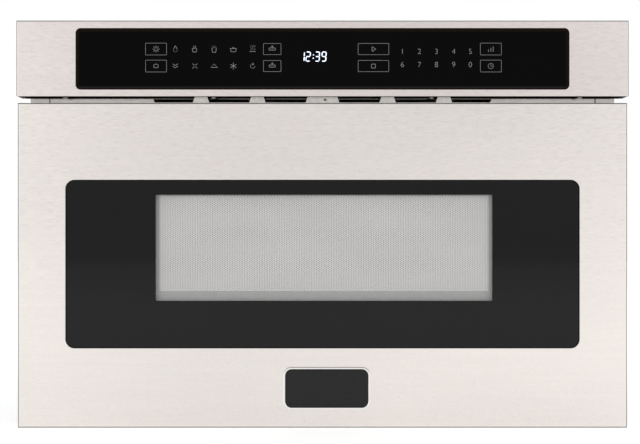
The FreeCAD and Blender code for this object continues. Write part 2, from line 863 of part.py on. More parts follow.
def cavity_box():
    s = cavity_sheet
    outer = plate_y(-cavity_half - s, cavity_half + s, cavity_floor - s, cavity_top + s,
                    frame_back_y, cavity_back_y + s, cavity_corner + s)
    inside = plate_y(-cavity_half, cavity_half, cavity_floor, cavity_top,
                     frame_back_y - past, cavity_back_y, cavity_corner)
    cutters = [inside, rod_z(0, stirrer_y, cavity_top - past, roof_z + past, coupling_hole_radius)]
    middle = (cavity_hole_rows - 1) / 2
    for row in range(cavity_hole_rows):
        for column in range(cavity_hole_rows):
            y = lamp_y + (column - middle) * cavity_hole_pitch
            z = cavity_floor + lamp_level + (row - middle) * cavity_hole_pitch
            cutters.append(rod_x(cavity_half - past, cavity_half + s + past, y, z, cavity_hole_radius))
            cutters.append(rod_x(-cavity_half - s - past, -cavity_half + past, y + air_outlet_offset,
                                 z, cavity_hole_radius))
    return holed(outer, cutters)


def stirrer_cover():
    half, depth, wall = stirrer_cover_half, stirrer_cover_depth, stirrer_cover_wall
    corner = stirrer_cover_corner
    y0, y1 = stirrer_y - half, stirrer_y + half
    outer = plate_z(-half, half, y0, y1, cavity_top - depth, cavity_top, corner)
    inside = plate_z(-half + wall, half - wall, y0 + wall, y1 - wall,
                     cavity_top - depth + wall, cavity_top + past, corner - wall)
    return outer.cut(inside)


def cavity_lamp():
    """Lamp box on the cavity's right wall, with its bulb as a small dome inside."""
    x = cavity_half + cavity_sheet
    z = cavity_floor + lamp_level
    half = lamp_size / 2
    housing = box(x, x + lamp_depth, lamp_y - half, lamp_y + half, z - half, z + half)
    w = lamp_wall
    end = x + lamp_depth - w
    hollow = box(x - past, end, lamp_y - half + w, lamp_y + half - w, z - half + w, z + half - w)
    socket = rod_x(end - lamp_socket_length, end, lamp_y, z, lamp_socket_radius)
    bulb = rod_x(x + w, end - lamp_socket_length, lamp_y, z, bulb_radius)
    return union([housing.cut(hollow), socket, bulb])


def thermal_cutout():
    body = rod_z(cutout_x, cutout_y, roof_z, roof_z + cutout_height, cutout_radius)
    tabs = terminal_tabs(cutout_x, cutout_y, cutout_radius / 2, roof_z + cutout_height)
    return union([body] + tabs)


def terminal_tabs(x, y, spread, z):
    """Pair of flat push-on terminals."""
    thick, wide = tab_sheet / 2, tab_width / 2
    return [box(x + offset - wide, x + offset + wide, y - thick, y + thick, z, z + tab_height)
            for offset in (-spread, spread)]


# ---------------------------------------------------------------- microwave source
def waveguide():
    half, s = guide_width / 2, guide_sheet
    y0, y1 = stirrer_y - guide_front_margin, magnetron_y + guide_width / 2
    outer = box(-half, half, y0, y1, guide_floor, guide_top)
    inside = box(-half + s, half - s, y0 + s, y1 - s, guide_floor + s, guide_top - s)
    cutters = [
        inside,
        rod_z(0, stirrer_y, guide_floor - past, guide_floor + s + past, coupling_hole_radius),
        rod_z(0, stirrer_y, guide_top - s - past, guide_top + past, stirrer_shaft_radius + shaft_way),
        rod_z(0, magnetron_y, guide_floor - past, guide_floor + s + past,
              antenna_base_radius + opening_margin),
    ]
    return holed(outer, cutters)


def stirrer():
    """Bent metal blades on a shaft that goes up through the waveguide into its motor."""
    hub_z = cavity_top - stirrer_cover_depth + stirrer_cover_wall + stirrer_gap
    top = guide_top + stirrer_spindle_depth
    shaft = rod_z(0, stirrer_y, hub_z, top, stirrer_shaft_radius)
    hub = rod_z(0, stirrer_y, hub_z, hub_z + stirrer_hub_height, stirrer_hub_radius)
    pieces = [shaft, hub]
    blade_z = hub_z + stirrer_hub_height / 2
    for number in range(stirrer_blades):
        blade = box(0, stirrer_radius, -stirrer_blade_width / 2, stirrer_blade_width / 2,
                    blade_z - stirrer_blade_sheet / 2, blade_z + stirrer_blade_sheet / 2)
        blade.rotate(Vector(0, 0, blade_z), Vector(1, 0, 0), stirrer_blade_tilt)
        blade.rotate(Vector(0, 0, 0), Vector(0, 0, 1), 360 * (number + 0.5) / stirrer_blades)
        blade.translate(Vector(0, stirrer_y, 0))
        pieces.append(blade)
    return union(pieces)


def stirrer_motor():
    body = rod_z(0, stirrer_y, guide_top, guide_top + stirrer_motor_height, stirrer_motor_radius)
    reach = stirrer_motor_radius + motor_ear
    ears = box(-reach, reach, stirrer_y - motor_ear, stirrer_y + motor_ear,
               guide_top, guide_top + motor_ear_sheet)
    bore = rod_z(0, stirrer_y, guide_top - past, guide_top + stirrer_spindle_depth + past,
                 stirrer_shaft_radius + running_fit)
    return holed(union([body, ears]), [bore])


def magnetron():
    """Yoke with cooling fins round the anode, antenna on top and filter box below."""
    half = magnetron_width / 2
    y0, y1 = magnetron_y - magnetron_depth / 2, magnetron_y + magnetron_depth / 2
    top, bottom = guide_floor, guide_floor - magnetron_height
    outer = box(-half, half, y0, y1, bottom, top)
    inside = box(-half + yoke_sheet, half - yoke_sheet, y0 - past, y1 + past,
                 bottom + yoke_sheet, top - yoke_plate)
    pieces = [outer.cut(inside), rod_z(0, magnetron_y, bottom, top, anode_radius)]
    for number in range(fin_count):
        z = bottom + (number + 1) * (top - bottom) / (fin_count + 1)
        pieces.append(box(-half, half, y0 + fin_inset, y1 - fin_inset,
                          z - fin_sheet / 2, z + fin_sheet / 2))
    pieces.append(box(-half + filter_inset, half - filter_inset, y0 + filter_inset, y1 - filter_inset,
                      bottom - magnetron_filter, bottom))
    pieces.append(rod_z(0, magnetron_y, top, top + antenna_base_height, antenna_base_radius))
    pieces.append(rod_z(0, magnetron_y, top, top + antenna_height, antenna_radius))
    return union(pieces)


def transformer_core():
    """Laminated core with two windows, on a foot plate."""
    y = (cavity_back_y + rear_y) / 2
    half = transformer_width / 2
    limb = transformer_limb
    z0 = base_top + transformer_foot_sheet
    core = box(transformer_x - half, transformer_x + half, y - transformer_depth / 2,
               y + transformer_depth / 2, z0, z0 + transformer_height)
    cutters = []
    for side in (-1, 1):
        x0, x1 = sorted((side * limb, side * (half - limb)))
        cutters.append(box(transformer_x + x0, transformer_x + x1, y - transformer_depth,
                           y + transformer_depth,
                           z0 + limb, z0 + transformer_height - limb))
    foot = box(transformer_x - half - transformer_foot, transformer_x + half + transformer_foot,
               y - transformer_depth / 2, y + transformer_depth / 2, base_top, z0)
    return union([core.cut(Part.makeCompound(cutters)), foot])


def transformer_windings():
    """Primary below and secondary above, both round the core's middle limb."""
    y = (cavity_back_y + rear_y) / 2
    z0 = base_top + transformer_foot_sheet + transformer_limb
    tall = transformer_height - 2 * transformer_limb
    reach = transformer_width / 2 - transformer_limb - winding_play
    deep = transformer_depth / 2 + winding_overhang
    limb = transformer_limb + winding_play
    windings = []
    split = primary_share * tall
    for low, high in ((winding_play, split), (split + winding_split, tall - winding_play)):
        coil = plate_z(transformer_x - reach, transformer_x + reach, y - deep, y + deep,
                       z0 + low, z0 + high, winding_corner)
        hole = box(transformer_x - limb, transformer_x + limb,
                   y - transformer_depth / 2 - winding_play, y + transformer_depth / 2 + winding_play,
                   z0 - past, z0 + tall + past)
        windings.append(coil.cut(hole))
    return windings


def hv_capacitor():
    """Oval can that stands on the base pan in its clip, with two pairs of terminals."""
    y = (cavity_back_y + rear_y) / 2
    half, thick = capacitor_length / 2, capacitor_thickness / 2
    top = base_top + capacitor_height
    can = plate_z(capacitor_x - half, capacitor_x + half, y - thick, y + thick, base_top, top,
                  capacitor_corner)
    clip = plate_z(capacitor_x - half - clip_sheet, capacitor_x + half + clip_sheet,
                   y - thick - clip_sheet, y + thick + clip_sheet, base_top + clip_level,
                   base_top + clip_level + clip_height, capacitor_corner + clip_sheet)
    return union([can, clip] + terminal_tabs(capacitor_x, y, half / 2, top))


# ---------------------------------------------------------------- fan and duct
def fan_housing():
    half = fan_size / 2
    frame = plate_y(fan_x - half, fan_x + half, fan_z - half, fan_z + half,
                    fan_front_y, rear_inner_y, fan_corner)
    way = impeller_radius + fan_tip_gap
    ring = holed(frame, [rod_y(fan_x, fan_front_y - past, rear_inner_y + past, fan_z, way)])
    struts = []
    for angle in (45, 135):
        strut = box(-way - past, way + past, fan_front_y, fan_front_y + strut_depth,
                    -strut_width / 2, strut_width / 2)
        strut.rotate(Vector(0, 0, 0), Vector(0, 1, 0), angle)
        strut.translate(Vector(fan_x, 0, fan_z))
        struts.append(strut)
    motor_way = rod_y(fan_x, fan_front_y - past, rear_inner_y, fan_z, fan_motor_radius)
    return union([ring] + [strut.cut(motor_way) for strut in struts])


def fan_motor():
    body = rod_y(fan_x, fan_front_y, fan_front_y + fan_motor_length, fan_z, fan_motor_radius)
    bore = rod_y(fan_x, fan_front_y + fan_bore_start, rear_inner_y, fan_z,
                 fan_shaft_radius + running_fit)
    return holed(body, [bore])


def fan_impeller():
    y0 = fan_front_y + fan_motor_length + seat_gap
    y1 = y0 + impeller_depth
    shaft = rod_y(fan_x, fan_front_y + fan_bore_start + seat_gap, y1, fan_z, fan_shaft_radius)
    hub = rod_y(fan_x, y0, y1, fan_z, impeller_hub_radius)
    ring = rod_y(fan_x, y0, y1, fan_z, impeller_radius)
    pieces = [shaft, hub]
    middle = (y0 + y1) / 2
    for number in range(fan_blades):
        foot_radius = impeller_hub_radius - blade_foot
        blade = box(foot_radius, impeller_radius + past, -blade_sheet / 2, blade_sheet / 2,
                    -blade_chord / 2, blade_chord / 2)
        blade.rotate(Vector(0, 0, 0), Vector(1, 0, 0), 90 - blade_pitch)
        blade.rotate(Vector(0, 0, 0), Vector(0, 1, 0), 360 * number / fan_blades)
        blade.translate(Vector(fan_x, middle, fan_z))
        pieces.append(blade.common(ring))
    return union(pieces)


def exhaust_duct():
    """Channel on the cavity's roof that leads the cooling air forward to the air slots."""
    half, w = duct_half_width, duct_wall
    y0, y1 = frame_back_y, frame_back_y + duct_length
    outer = box(-half, half, y0, y1, roof_z, roof_z + duct_height)
    inside = box(-half + w, half - w, y0 - past, y1 + past, roof_z + w, roof_z + duct_height - w)
    return outer.cut(inside)


def vent_louver():
    """Upright comb in the gap: teeth between the air slots, each with a tab under the housing."""
    y0 = front_y + louver_setback
    y1 = y0 + louver_lip
    low_z = drawer_front_height + louver_lift
    half = louver_centres()[-1] + louver_slot_bottom / 2
    face = box(-half, half, y0, y0 + louver_sheet, low_z, panel_bottom)
    lip = box(-half, half, y0, y1, panel_bottom - louver_sheet, panel_bottom)
    middle_z = (low_z + panel_bottom) / 2
    cutters = [rod_y(louver_hole_x, y0 - past, y0 + louver_sheet + past, middle_z, louver_hole_radius)]
    for x in louver_centres():
        cutters.append(air_slot(x, low_z + louver_margin, panel_bottom + past, y0 - past, y1 + past))
    return holed(union([face, lip]), cutters)


# ---------------------------------------------------------------- control panel
def control_fascia():
    half = panel_half
    s = skin_sheet
    outer = box(-half, half, front_y, flange_y, panel_bottom, panel_top)
    edges = [edge for edge in outer.Edges if on_front_rim(edge, half, panel_bottom, panel_top, False)]
    outer = outer.makeFillet(panel_edge_radius, edges)
    inside = box(-half + s, half - s, skin_back_y, flange_y - s, panel_bottom - past, panel_top - s)
    rear_way = box(-half + rear_lip, half - rear_lip, flange_y - 2 * s, flange_y + past,
                   panel_bottom - past, panel_top - rear_lip)
    o = bezel_width + sheet_fit
    opening = plate_y(-control_glass_half - o, control_glass_half + o, control_glass_z - o,
                      control_glass_z + control_glass_height + o, front_y - past, skin_back_y + past,
                      control_glass_corner + o)
    return holed(outer, [inside, rear_way, opening])


def on_front_rim(edge, half, bottom, top, with_bottom):
    """True for the outer edges of a front's face, without the lower one if it stays sharp."""
    if any(abs(vertex.Y - front_y) > same_place for vertex in edge.Vertexes):
        return False
    middle = edge.CenterOfMass
    at_bottom = abs(middle.z - bottom) < same_place
    at_rim = abs(abs(middle.x) - half) < same_place or abs(middle.z - top) < same_place
    return at_rim or (at_bottom and with_bottom)


def control_bezel():
    o, z0, z1 = bezel_width, control_glass_z, control_glass_z + control_glass_height
    half, r = control_glass_half, control_glass_corner
    outer = plate_y(-half - o, half + o, z0 - o, z1 + o, front_y, board_y, r + o)
    pocket = plate_y(-half - sheet_fit, half + sheet_fit, z0 - sheet_fit, z1 + sheet_fit,
                     front_y - past, control_glass_back_y, r + sheet_fit)
    ledge = plate_y(-half + bezel_ledge, half - bezel_ledge, z0 + bezel_ledge, z1 - bezel_ledge,
                    front_y - past, board_y + past, sheet_corner)
    return holed(outer, [pocket, ledge])


def control_glass():
    z0 = control_glass_z
    return plate_y(-control_glass_half, control_glass_half, z0, z0 + control_glass_height,
                   glass_front_y, control_glass_back_y, control_glass_corner)


def control_housing():
    """Black plastic box behind the panel; its underside shows above the drawer front."""
    half, w = panel_half - housing_side_gap, housing_wall
    top = panel_top - skin_sheet - seat_gap
    outer = box(-half, half, skin_back_y, flange_y, panel_bottom, top)
    inside = box(-half + w, half - w, skin_back_y + w, flange_y + past, panel_bottom + w, top - w)
    lip_way = holed(
        box(-half - past, half + past, flange_y - skin_sheet - seat_gap, flange_y + past,
            panel_bottom - past, top + past),
        [box(-panel_half + rear_lip + seat_gap, panel_half - rear_lip - seat_gap,
             flange_y - front_projection, flange_y + 2 * past, panel_bottom - 2 * past,
             panel_top - rear_lip - seat_gap)])
    o = bezel_width + sheet_fit
    opening = plate_y(-control_glass_half - o, control_glass_half + o, control_glass_z - o,
                      control_glass_z + control_glass_height + o, skin_back_y - past,
                      skin_back_y + w + past, control_glass_corner + o)
    holes = [screw_hole(point, (0, 0, 1)) for point in gap_screw_points()]
    return holed(outer, [inside, lip_way, opening] + holes)


def display_module():
    z = control_glass_z + display_above_glass
    return box(display_x - display_width / 2, display_x + display_width / 2,
               board_y - display_thickness, board_y, z, z + display_height)


def control_board():
    """Touch and control board, screwed to the back of the bezel."""
    half = control_glass_half - board_overhang
    z0 = control_glass_z + board_overhang
    z1 = control_glass_z + control_glass_height - board_overhang
    back = board_y + board_thickness
    pieces = [box(-half, half, board_y, back, z0, z1)]
    for x, width, height, depth in board_chips:
        pieces.append(box(x, x + width, back, back + depth, z0 + chip_rise, z0 + chip_rise + height))
    pieces.append(rod_y(buzzer_x, back, back + buzzer_height, z0 + 2 * chip_rise, buzzer_radius))
    pieces.append(box(ribbon_x - plug_half, ribbon_x + plug_half, back, back + plug_depth,
                      ribbon_z - plug_half / 2, ribbon_z + plug_half / 2))
    return union(pieces)


def power_board():
    """Relay board on standoffs on the cavity's roof."""
    z = roof_z + standoff_height
    x0, x1 = power_board_x - power_board_width / 2, power_board_x + power_board_width / 2
    y0, y1 = power_board_y - power_board_depth / 2, power_board_y + power_board_depth / 2
    pieces = [box(x0, x1, y0, y1, z, z + board_thickness)]
    pieces += standoffs(x0, x1, y0, y1, roof_z, z)
    top = z + board_thickness
    for number in range(relay_count):
        x = x0 + power_board_margin + number * relay_pitch
        pieces.append(box(x, x + relay_width, y1 - power_board_margin - relay_length,
                          y1 - power_board_margin, top, top + relay_width))
    x, y = x0 + power_board_margin, y0 + power_board_margin
    pieces.append(box(x, x + supply_length, y, y + supply_width, top, top + supply_height))
    pieces.append(rod_z(x + supply_length + supply_width / 2, y + supply_width / 2, top,
                        top + supply_height, smoothing_radius))
    pieces.append(box(ribbon_x - plug_half, ribbon_x + plug_half, power_board_y - plug_half / 2,
                      power_board_y + plug_half / 2, top, top + plug_height))
    return union(pieces)


def standoffs(x0, x1, y0, y1, z0, z1):
    """Four pillars under the corners of a board."""
    inset = 2 * standoff_radius
    return [rod_z(x, y, z0, z1, standoff_radius)
            for x in (x0 + inset, x1 - inset) for y in (y0 + inset, y1 - inset)]


def ribbon_cable():
    """Flat cable from the control board back along the top and down to the power board."""
    y0 = board_y + board_thickness + plug_depth
    y1 = power_board_y
    z0 = roof_z + standoff_height + board_thickness + plug_height
    z1 = ribbon_z
    t = ribbon_sheet / 2
    r = ribbon_bend

    def arc(radius):
        points = []
        for angle in (90, 45, 0):
            a = math.radians(angle)
            points.append(Vector(0, y1 - r + radius * math.cos(a), z1 - r + radius * math.sin(a)))
        return points

    outer, inner = arc(r + t), arc(r - t)
    start_top, start_low = Vector(0, y0, z1 + t), Vector(0, y0, z1 - t)
    end_out, end_in = Vector(0, y1 + t, z0), Vector(0, y1 - t, z0)
    edges = [
        Part.makeLine(start_top, outer[0]), Part.Arc(*outer).toShape(), Part.makeLine(outer[2], end_out),
        Part.makeLine(end_out, end_in), Part.makeLine(end_in, inner[2]),
        Part.Arc(inner[2], inner[1], inner[0]).toShape(), Part.makeLine(inner[0], start_low),
        Part.makeLine(start_low, start_top)]
    strip = Part.Face(Part.Wire(edges)).extrude(Vector(ribbon_width, 0, 0))
    strip.translate(Vector(ribbon_x - ribbon_width / 2, 0, 0))
    return strip


def noise_filter():
    """Mains filter board on standoffs on the base pan, near the cord's gland."""
    x0, x1 = filter_x - filter_board_width / 2, filter_x + filter_board_width / 2
    y = cavity_back_y + filter_setback
    y0, y1 = y - filter_board_depth / 2, y + filter_board_depth / 2
    z = base_top + standoff_height
    top = z + board_thickness
    coil_x = x0 + choke_coil_radius + standoff_radius
    coil = rod_z(coil_x, y, top, top + choke_coil_height, choke_coil_radius)
    hole = rod_z(coil_x, y, top, top + choke_coil_height + past, choke_coil_radius / 2)
    pieces = [box(x0, x1, y0, y1, z, top), coil.cut(hole)]
    pieces += standoffs(x0, x1, y0, y1, base_top, z)
    can_x = coil_x + choke_coil_radius + standoff_radius
    pieces.append(box(can_x, can_x + filter_can_width, y - filter_can_width, y + filter_can_width,
                      top, top + filter_can_height))
    return union(pieces)


# ---------------------------------------------------------------- drawer front
def drawer_fascia():
    """Folded stainless front: face, four returns and lips at the back."""
    half, s = drawer_half, skin_sheet
    back = drawer_plate_y
    outer = box(-half, half, front_y, back, 0, drawer_front_height)
    edges = [edge for edge in outer.Edges if on_front_rim(edge, half, 0, drawer_front_height, True)]
    outer = outer.makeFillet(drawer_edge_radius, edges)
    inside = box(-half + s, half - s, skin_back_y, back - s, s, drawer_front_height - s)
    rear_way = box(-half + rear_lip, half - rear_lip, back - 2 * s, back + past,
                   rear_lip, drawer_front_height - rear_lip)
    o = drawer_glass_gap
    opening = plate_y(-drawer_glass_half - o, drawer_glass_half + o, drawer_glass_bottom - o,
                      drawer_glass_bottom + drawer_glass_height + o, front_y - past, skin_back_y + past,
                      drawer_glass_corner + o)
    cutters = [inside, rear_way, opening]
    cutters += [screw_hole(point, (0, -1, 0)) for point in drawer_screw_points()]
    return holed(outer, cutters)


def drawer_screw_points():
    """Screws from behind, through the drawer frame into the front's lips."""
    inset = (rear_lip + skin_sheet) / 2
    points = []
    for x in drawer_screw_places:
        for z in (inset, drawer_front_height - inset):
            points.append((x, panel_back_y, z))
    for x in (-drawer_half + inset, drawer_half - inset):
        for z in drawer_screw_levels:
            points.append((x, panel_back_y, z))
    return points


def slide_screw_points():
    """Two screws on each side, through the inner member's end plate into the drawer frame."""
    x = bracket_face - inner_reach / 2
    y = panel_back_y + bracket_sheet
    return [(side * x, y, slide_z + rise) for side in (-1, 1)
            for rise in (-slide_screw_offset, slide_screw_offset)]


def drawer_glass():
    return plate_y(-drawer_glass_half, drawer_glass_half, drawer_glass_bottom,
                   drawer_glass_bottom + drawer_glass_height, glass_front_y, drawer_glass_back_y,
                   drawer_glass_corner)


def glass_holder():
    """Frame behind the skin that carries the glass on its ledge."""
    m = holder_margin
    half = drawer_glass_half + m
    z0, z1 = drawer_glass_bottom - m, drawer_glass_bottom + drawer_glass_height + m
    outer = plate_y(-half, half, z0, z1, skin_back_y, holder_back_y, drawer_glass_corner + m)
    o = drawer_glass_gap
    pocket = plate_y(-drawer_glass_half - o, drawer_glass_half + o, drawer_glass_bottom - o,
                     drawer_glass_bottom + drawer_glass_height + o, skin_back_y - past,
                     drawer_glass_back_y, drawer_glass_corner + o)
    r = holder_relief
    opening = plate_y(window_left - r, window_right + r, window_bottom - r, window_top + r,
                      skin_back_y - past, holder_back_y + past, window_corner)
    return holed(outer, [pocket, opening])


def door_screen():
    m = screen_margin
    return plate_y(window_left - m, window_right + m, window_bottom - m, window_top + m,
                   holder_back_y, screen_back_y, window_corner)


def tunnel_box(extra, y0, y1):
    m = tunnel_margin + extra
    return plate_y(window_left - m, window_right + m, window_bottom - m, window_top + m, y0, y1,
                   window_corner + extra)


def drawer_frame():
    """Steel plate that closes the front's back, with a tunnel forward to the screen."""
    edge = sheet_fit
    plate = box(-drawer_half + edge, drawer_half - edge, drawer_plate_y, panel_back_y,
                edge, drawer_front_height - edge)
    tunnel = tunnel_box(tunnel_sheet, screen_back_y, drawer_plate_y)
    way = tunnel_box(0, screen_back_y - past, panel_back_y + past)
    points = drawer_screw_points() + slide_screw_points() + hook_screw_points()
    cutters = [way] + [screw_hole(point, (0, -1, 0)) for point in points]
    return holed(union([plate, tunnel]), cutters)


def inner_window():
    return tunnel_box(-sheet_fit, panel_back_y - inner_window_thickness, panel_back_y)


def ring_y(half_x0, half_x1, z0, z1, width, y0, y1, radius):
    """Rectangular ring that faces the front; the sizes are those of its inner edge."""
    outer = plate_y(half_x0 - width, half_x1 + width, z0 - width, z1 + width, y0, y1, radius + width)
    return outer.cut(plate_y(half_x0, half_x1, z0, z1, y0 - past, y1 + past, radius))


def choke_cover():
    return ring_y(-choke_half, choke_half, choke_bottom, choke_top, choke_width,
                  panel_back_y, choke_back_y, choke_corner)


def door_gasket():
    grow = choke_width + seat_gap
    return ring_y(-choke_half - grow, choke_half + grow, choke_bottom - grow, choke_top + grow,
                  gasket_width, panel_back_y, flange_y - seat_gap, choke_corner + grow)


def badge_frame():
    x0, x1 = badge_x - badge_width / 2, badge_x + badge_width / 2
    z0, z1 = badge_z - badge_height / 2, badge_z + badge_height / 2
    outer = plate_y(x0, x1, z0, z1, front_y - badge_raise, front_y, badge_corner)
    w = badge_rim
    hole = plate_y(x0 + w, x1 - w, z0 + w, z1 - w, front_y - badge_raise - past, front_y + past,
                   badge_corner - w)
    rim = outer.cut(hole)
    edges = [edge for edge in rim.Edges
             if all(abs(vertex.Y - front_y + badge_raise) < same_place for vertex in edge.Vertexes)]
    return rim.makeFillet(badge_edge_radius, edges)


def badge_plate():
    w = badge_rim + sheet_fit
    return plate_y(badge_x - badge_width / 2 + w, badge_x + badge_width / 2 - w,
                   badge_z - badge_height / 2 + w, badge_z + badge_height / 2 - w,
                   front_y - badge_plate_thickness, front_y, badge_corner - w)


# ---------------------------------------------------------------- tray
def tray():
    """Drawer tray: floor, three walls with a rolled rim, and the plate behind the window."""
    half, s = tray_half, tray_sheet
    walls_top = tray_front_top - tray_front_rise
    back = tray_back_y

    def plan(inset, y0, z0, z1):
        shape = box(-half + inset, half - inset, y0, back - inset, z0, z1)
        corners = [edge for edge in shape.Edges
                   if all(abs(vertex.Y - back + inset) < same_place for vertex in edge.Vertexes)
                   and abs(edge.Vertexes[0].Z - edge.Vertexes[1].Z) > 1]
        return shape.makeFillet(tray_corner - inset, corners)

    outer = plan(0, tray_front_y, tray_bottom, walls_top)
    inside = plan(s, tray_inner_y, tray_floor, tray_front_top)
    rim = plan(-tray_rim, flange_y + frame_sheet + past, walls_top - s, walls_top)
    front = box(-half, half, tray_front_y, tray_inner_y, tray_bottom, tray_front_top)
    r = (holder_relief + tunnel_margin) / 2
    window = plate_y(window_left - r, window_right + r, window_bottom - r, window_top + r,
                     tray_front_y - past, tray_inner_y + past, window_corner)
    return holed(union([outer, rim, front]), [inside, window])


def ceramic_floor():
    inset = tray_sheet + ceramic_inset
    return plate_z(-tray_half + inset, tray_half - inset, tray_inner_y + ceramic_inset,
                   tray_back_y - inset, tray_floor, tray_floor + ceramic_thickness,
                   tray_corner - inset)


def tray_glides():
    x1 = tray_half - glide_inset
    y1 = tray_back_y - glide_inset
    glide = plate_z(x1 - glide_width, x1, y1 - glide_length, y1, tray_bottom - glide_height,
                    tray_bottom, glide_corner)
    return both_sides(glide)


# ---------------------------------------------------------------- slides (right side)
def member(start, reach, half, web_start, web_end, flange, y0, y1):
    """Channel section: two flanges from start to reach joined by a web."""
    def at(distance):
        return bracket_face - distance

    pieces = [
        box(at(web_end), at(web_start), y0, y1, slide_z - half, slide_z + half),
        box(at(reach), at(start), y0, y1, slide_z + half - flange, slide_z + half),
        box(at(reach), at(start), y0, y1, slide_z - half, slide_z - half + flange),
    ]
    return union(pieces)


def races(ball_z, y0, y1):
    """Round grooves for the two ball rows above and below the slide's middle."""
    x = bracket_face - ball_line
    return [rod_y(x, y0 - past, y1 + past, slide_z + side * ball_z, race_radius) for side in (-1, 1)]


def slide_outer():
    y0, y1 = slide_front_y, slide_back_y
    channel = member(0, outer_reach, outer_half, 0, outer_web, outer_flange, y0, y1)
    return holed(channel, races(outer_ball_z, y0, y1))


def slide_middle():
    y0, y1 = slide_front_y, slide_back_y
    channel = member(middle_start, middle_reach, middle_half, middle_start,
                     middle_start + middle_web, middle_flange, y0, y1)
    return holed(channel, races(outer_ball_z, y0, y1) + races(inner_ball_z, y0, y1))


def slide_inner():
    """Inner member with the end plate that is screwed to the drawer frame."""
    y0, y1 = panel_back_y, panel_back_y + slide_length
    channel = member(inner_start, inner_reach, inner_half, inner_reach - inner_web, inner_reach,
                     inner_flange, y0, y1)
    grooved = holed(channel, races(inner_ball_z, y0, y1))
    plate = box(bracket_face - inner_reach, bracket_face - past, y0, y0 + bracket_sheet,
                slide_z - inner_half, slide_z + inner_half)
    holes = [screw_hole(point, (0, -1, 0)) for point in slide_screw_points() if point[0] > 0]
    return holed(union([grooved, plate]), holes)


def ball_rows(ball_z):
    first = frame_back_y + cage_setback + cage_end
    pitch = (cage_length - 2 * cage_end) / (balls_per_row - 1)
    x = bracket_face - ball_line
    return [Vector(x, first + number * pitch, slide_z + side * ball_z)
            for side in (-1, 1) for number in range(balls_per_row)]


def ball_cage(web_start, ball_z):
    """U-shaped strip with a hole for each ball."""
    def at(distance):
        return bracket_face - distance

    y0 = frame_back_y + cage_setback
    y1 = y0 + cage_length
    half = ball_z + cage_strip / 2
    outline = [(at(web_start), half), (at(cage_reach), half), (at(cage_reach), half - cage_strip),
               (at(web_start + cage_sheet), half - cage_strip),
               (at(web_start + cage_sheet), -half + cage_strip),
               (at(cage_reach), -half + cage_strip), (at(cage_reach), -half), (at(web_start), -half)]
    corners = [Vector(x, y0, slide_z + z) for x, z in outline]
    strip = Part.Face(Part.makePolygon(corners + corners[:1])).extrude(Vector(0, y1 - y0, 0))
    holes = [rod_z(p.x, p.y, p.z - ball_radius, p.z + ball_radius, ball_radius + ball_hole_fit)
             for p in ball_rows(ball_z)]
    return holed(strip, holes)


def balls(ball_z):
    return [Part.makeSphere(ball_radius, point) for point in ball_rows(ball_z)]


def slide_bracket():
    """Side bracket on the base pan that carries the outer member and the shaft's bush."""
    x0, x1 = bracket_face, bracket_face + bracket_sheet
    y0, y1 = slide_front_y, slide_back_y
    upright = box(x0, x1, y0, y1, base_top, slide_z + outer_half + bracket_rise)
    foot = box(x0 - bracket_foot, x1, y0, y1, base_top, base_top + bracket_sheet)
    hole = rod_x(x0 - past, x1 + past, shaft_y, shaft_z, bush_radius + sheet_fit)
    cutters = [hole, screw_hole(bracket_screw_point(), (0, 0, -1))]
    for start in bracket_windows:
        cutters.append(window_x(x0 - past, x1 + past, y0 + start, y0 + start + bracket_window_length,
                                base_top + bracket_window_margin,
                                slide_z - outer_half - bracket_window_margin / 2))
    return holed(union([upright, foot]), cutters)


def window_x(x0, x1, y0, y1, z0, z1):
    """Cutter for a window in a plate that faces sideways, with round corners."""
    face = rounded_outline(y0, y1, z0, z1, bracket_window_corner, lambda u, v: Vector(x0, u, v))
    return face.extrude(Vector(x1 - x0, 0, 0))


def bracket_screw_point():
    x = bracket_face - bracket_foot / 2
    return x, slide_front_y + bracket_screw_setback, base_top + bracket_sheet


# ---------------------------------------------------------------- drawer drive
def shaft_bush():
    x0, x1 = bracket_face, bracket_face + bracket_sheet
    barrel = rod_x(x0, x1, shaft_y, shaft_z, bush_radius)
    flange = rod_x(x0 - bush_flange, x0, shaft_y, shaft_z, bush_flange_radius)
    bore = rod_x(x0 - bush_flange - past, x1 + past, shaft_y, shaft_z, shaft_radius + running_fit)
    return holed(union([barrel, flange]), [bore])


def drive_shaft():
    end = bracket_face + bracket_sheet - seat_gap
    return rod_x(-end, end, shaft_y, shaft_z, shaft_radius)


def rack_pinion():
    """Pinion with a hub on its inner side; a tooth gap points up at the rack's tooth."""
    first = math.pi / 2 + math.pi / pinion_teeth
    wheel = gear(rack_module, pinion_teeth, pinion_middle, pinion_width, shaft_y, shaft_z, first)
    hub_end = pinion_middle - pinion_width / 2
    hub = rod_x(hub_end - hub_length, hub_end, shaft_y, shaft_z, hub_radius)
    bore = rod_x(hub_end - hub_length - past, pinion_middle + pinion_width, shaft_y, shaft_z,
                 shaft_radius + press_fit)
    return holed(union([wheel, hub]), [bore])


def shaft_gear():
    wheel = gear(gear_module, shaft_gear_teeth, gear_x, gear_width, shaft_y, shaft_z, 0.0)
    hub = rod_x(gear_x - gear_width / 2 - hub_length, gear_x - gear_width / 2, shaft_y, shaft_z, hub_radius)
    bore = rod_x(gear_x - gear_width / 2 - hub_length - past, gear_x + gear_width, shaft_y, shaft_z,
                 shaft_radius + press_fit)
    return holed(union([wheel, hub]), [bore])


def motor_gear():
    first = math.pi + math.pi / motor_gear_teeth
    wheel = gear(gear_module, motor_gear_teeth, gear_x, gear_width, motor_shaft_y, shaft_z, first)
    spindle = rod_x(gear_x - gear_width / 2, gearbox_x + spindle_depth, motor_shaft_y, shaft_z,
                    motor_spindle_radius)
    return union([wheel, spindle])


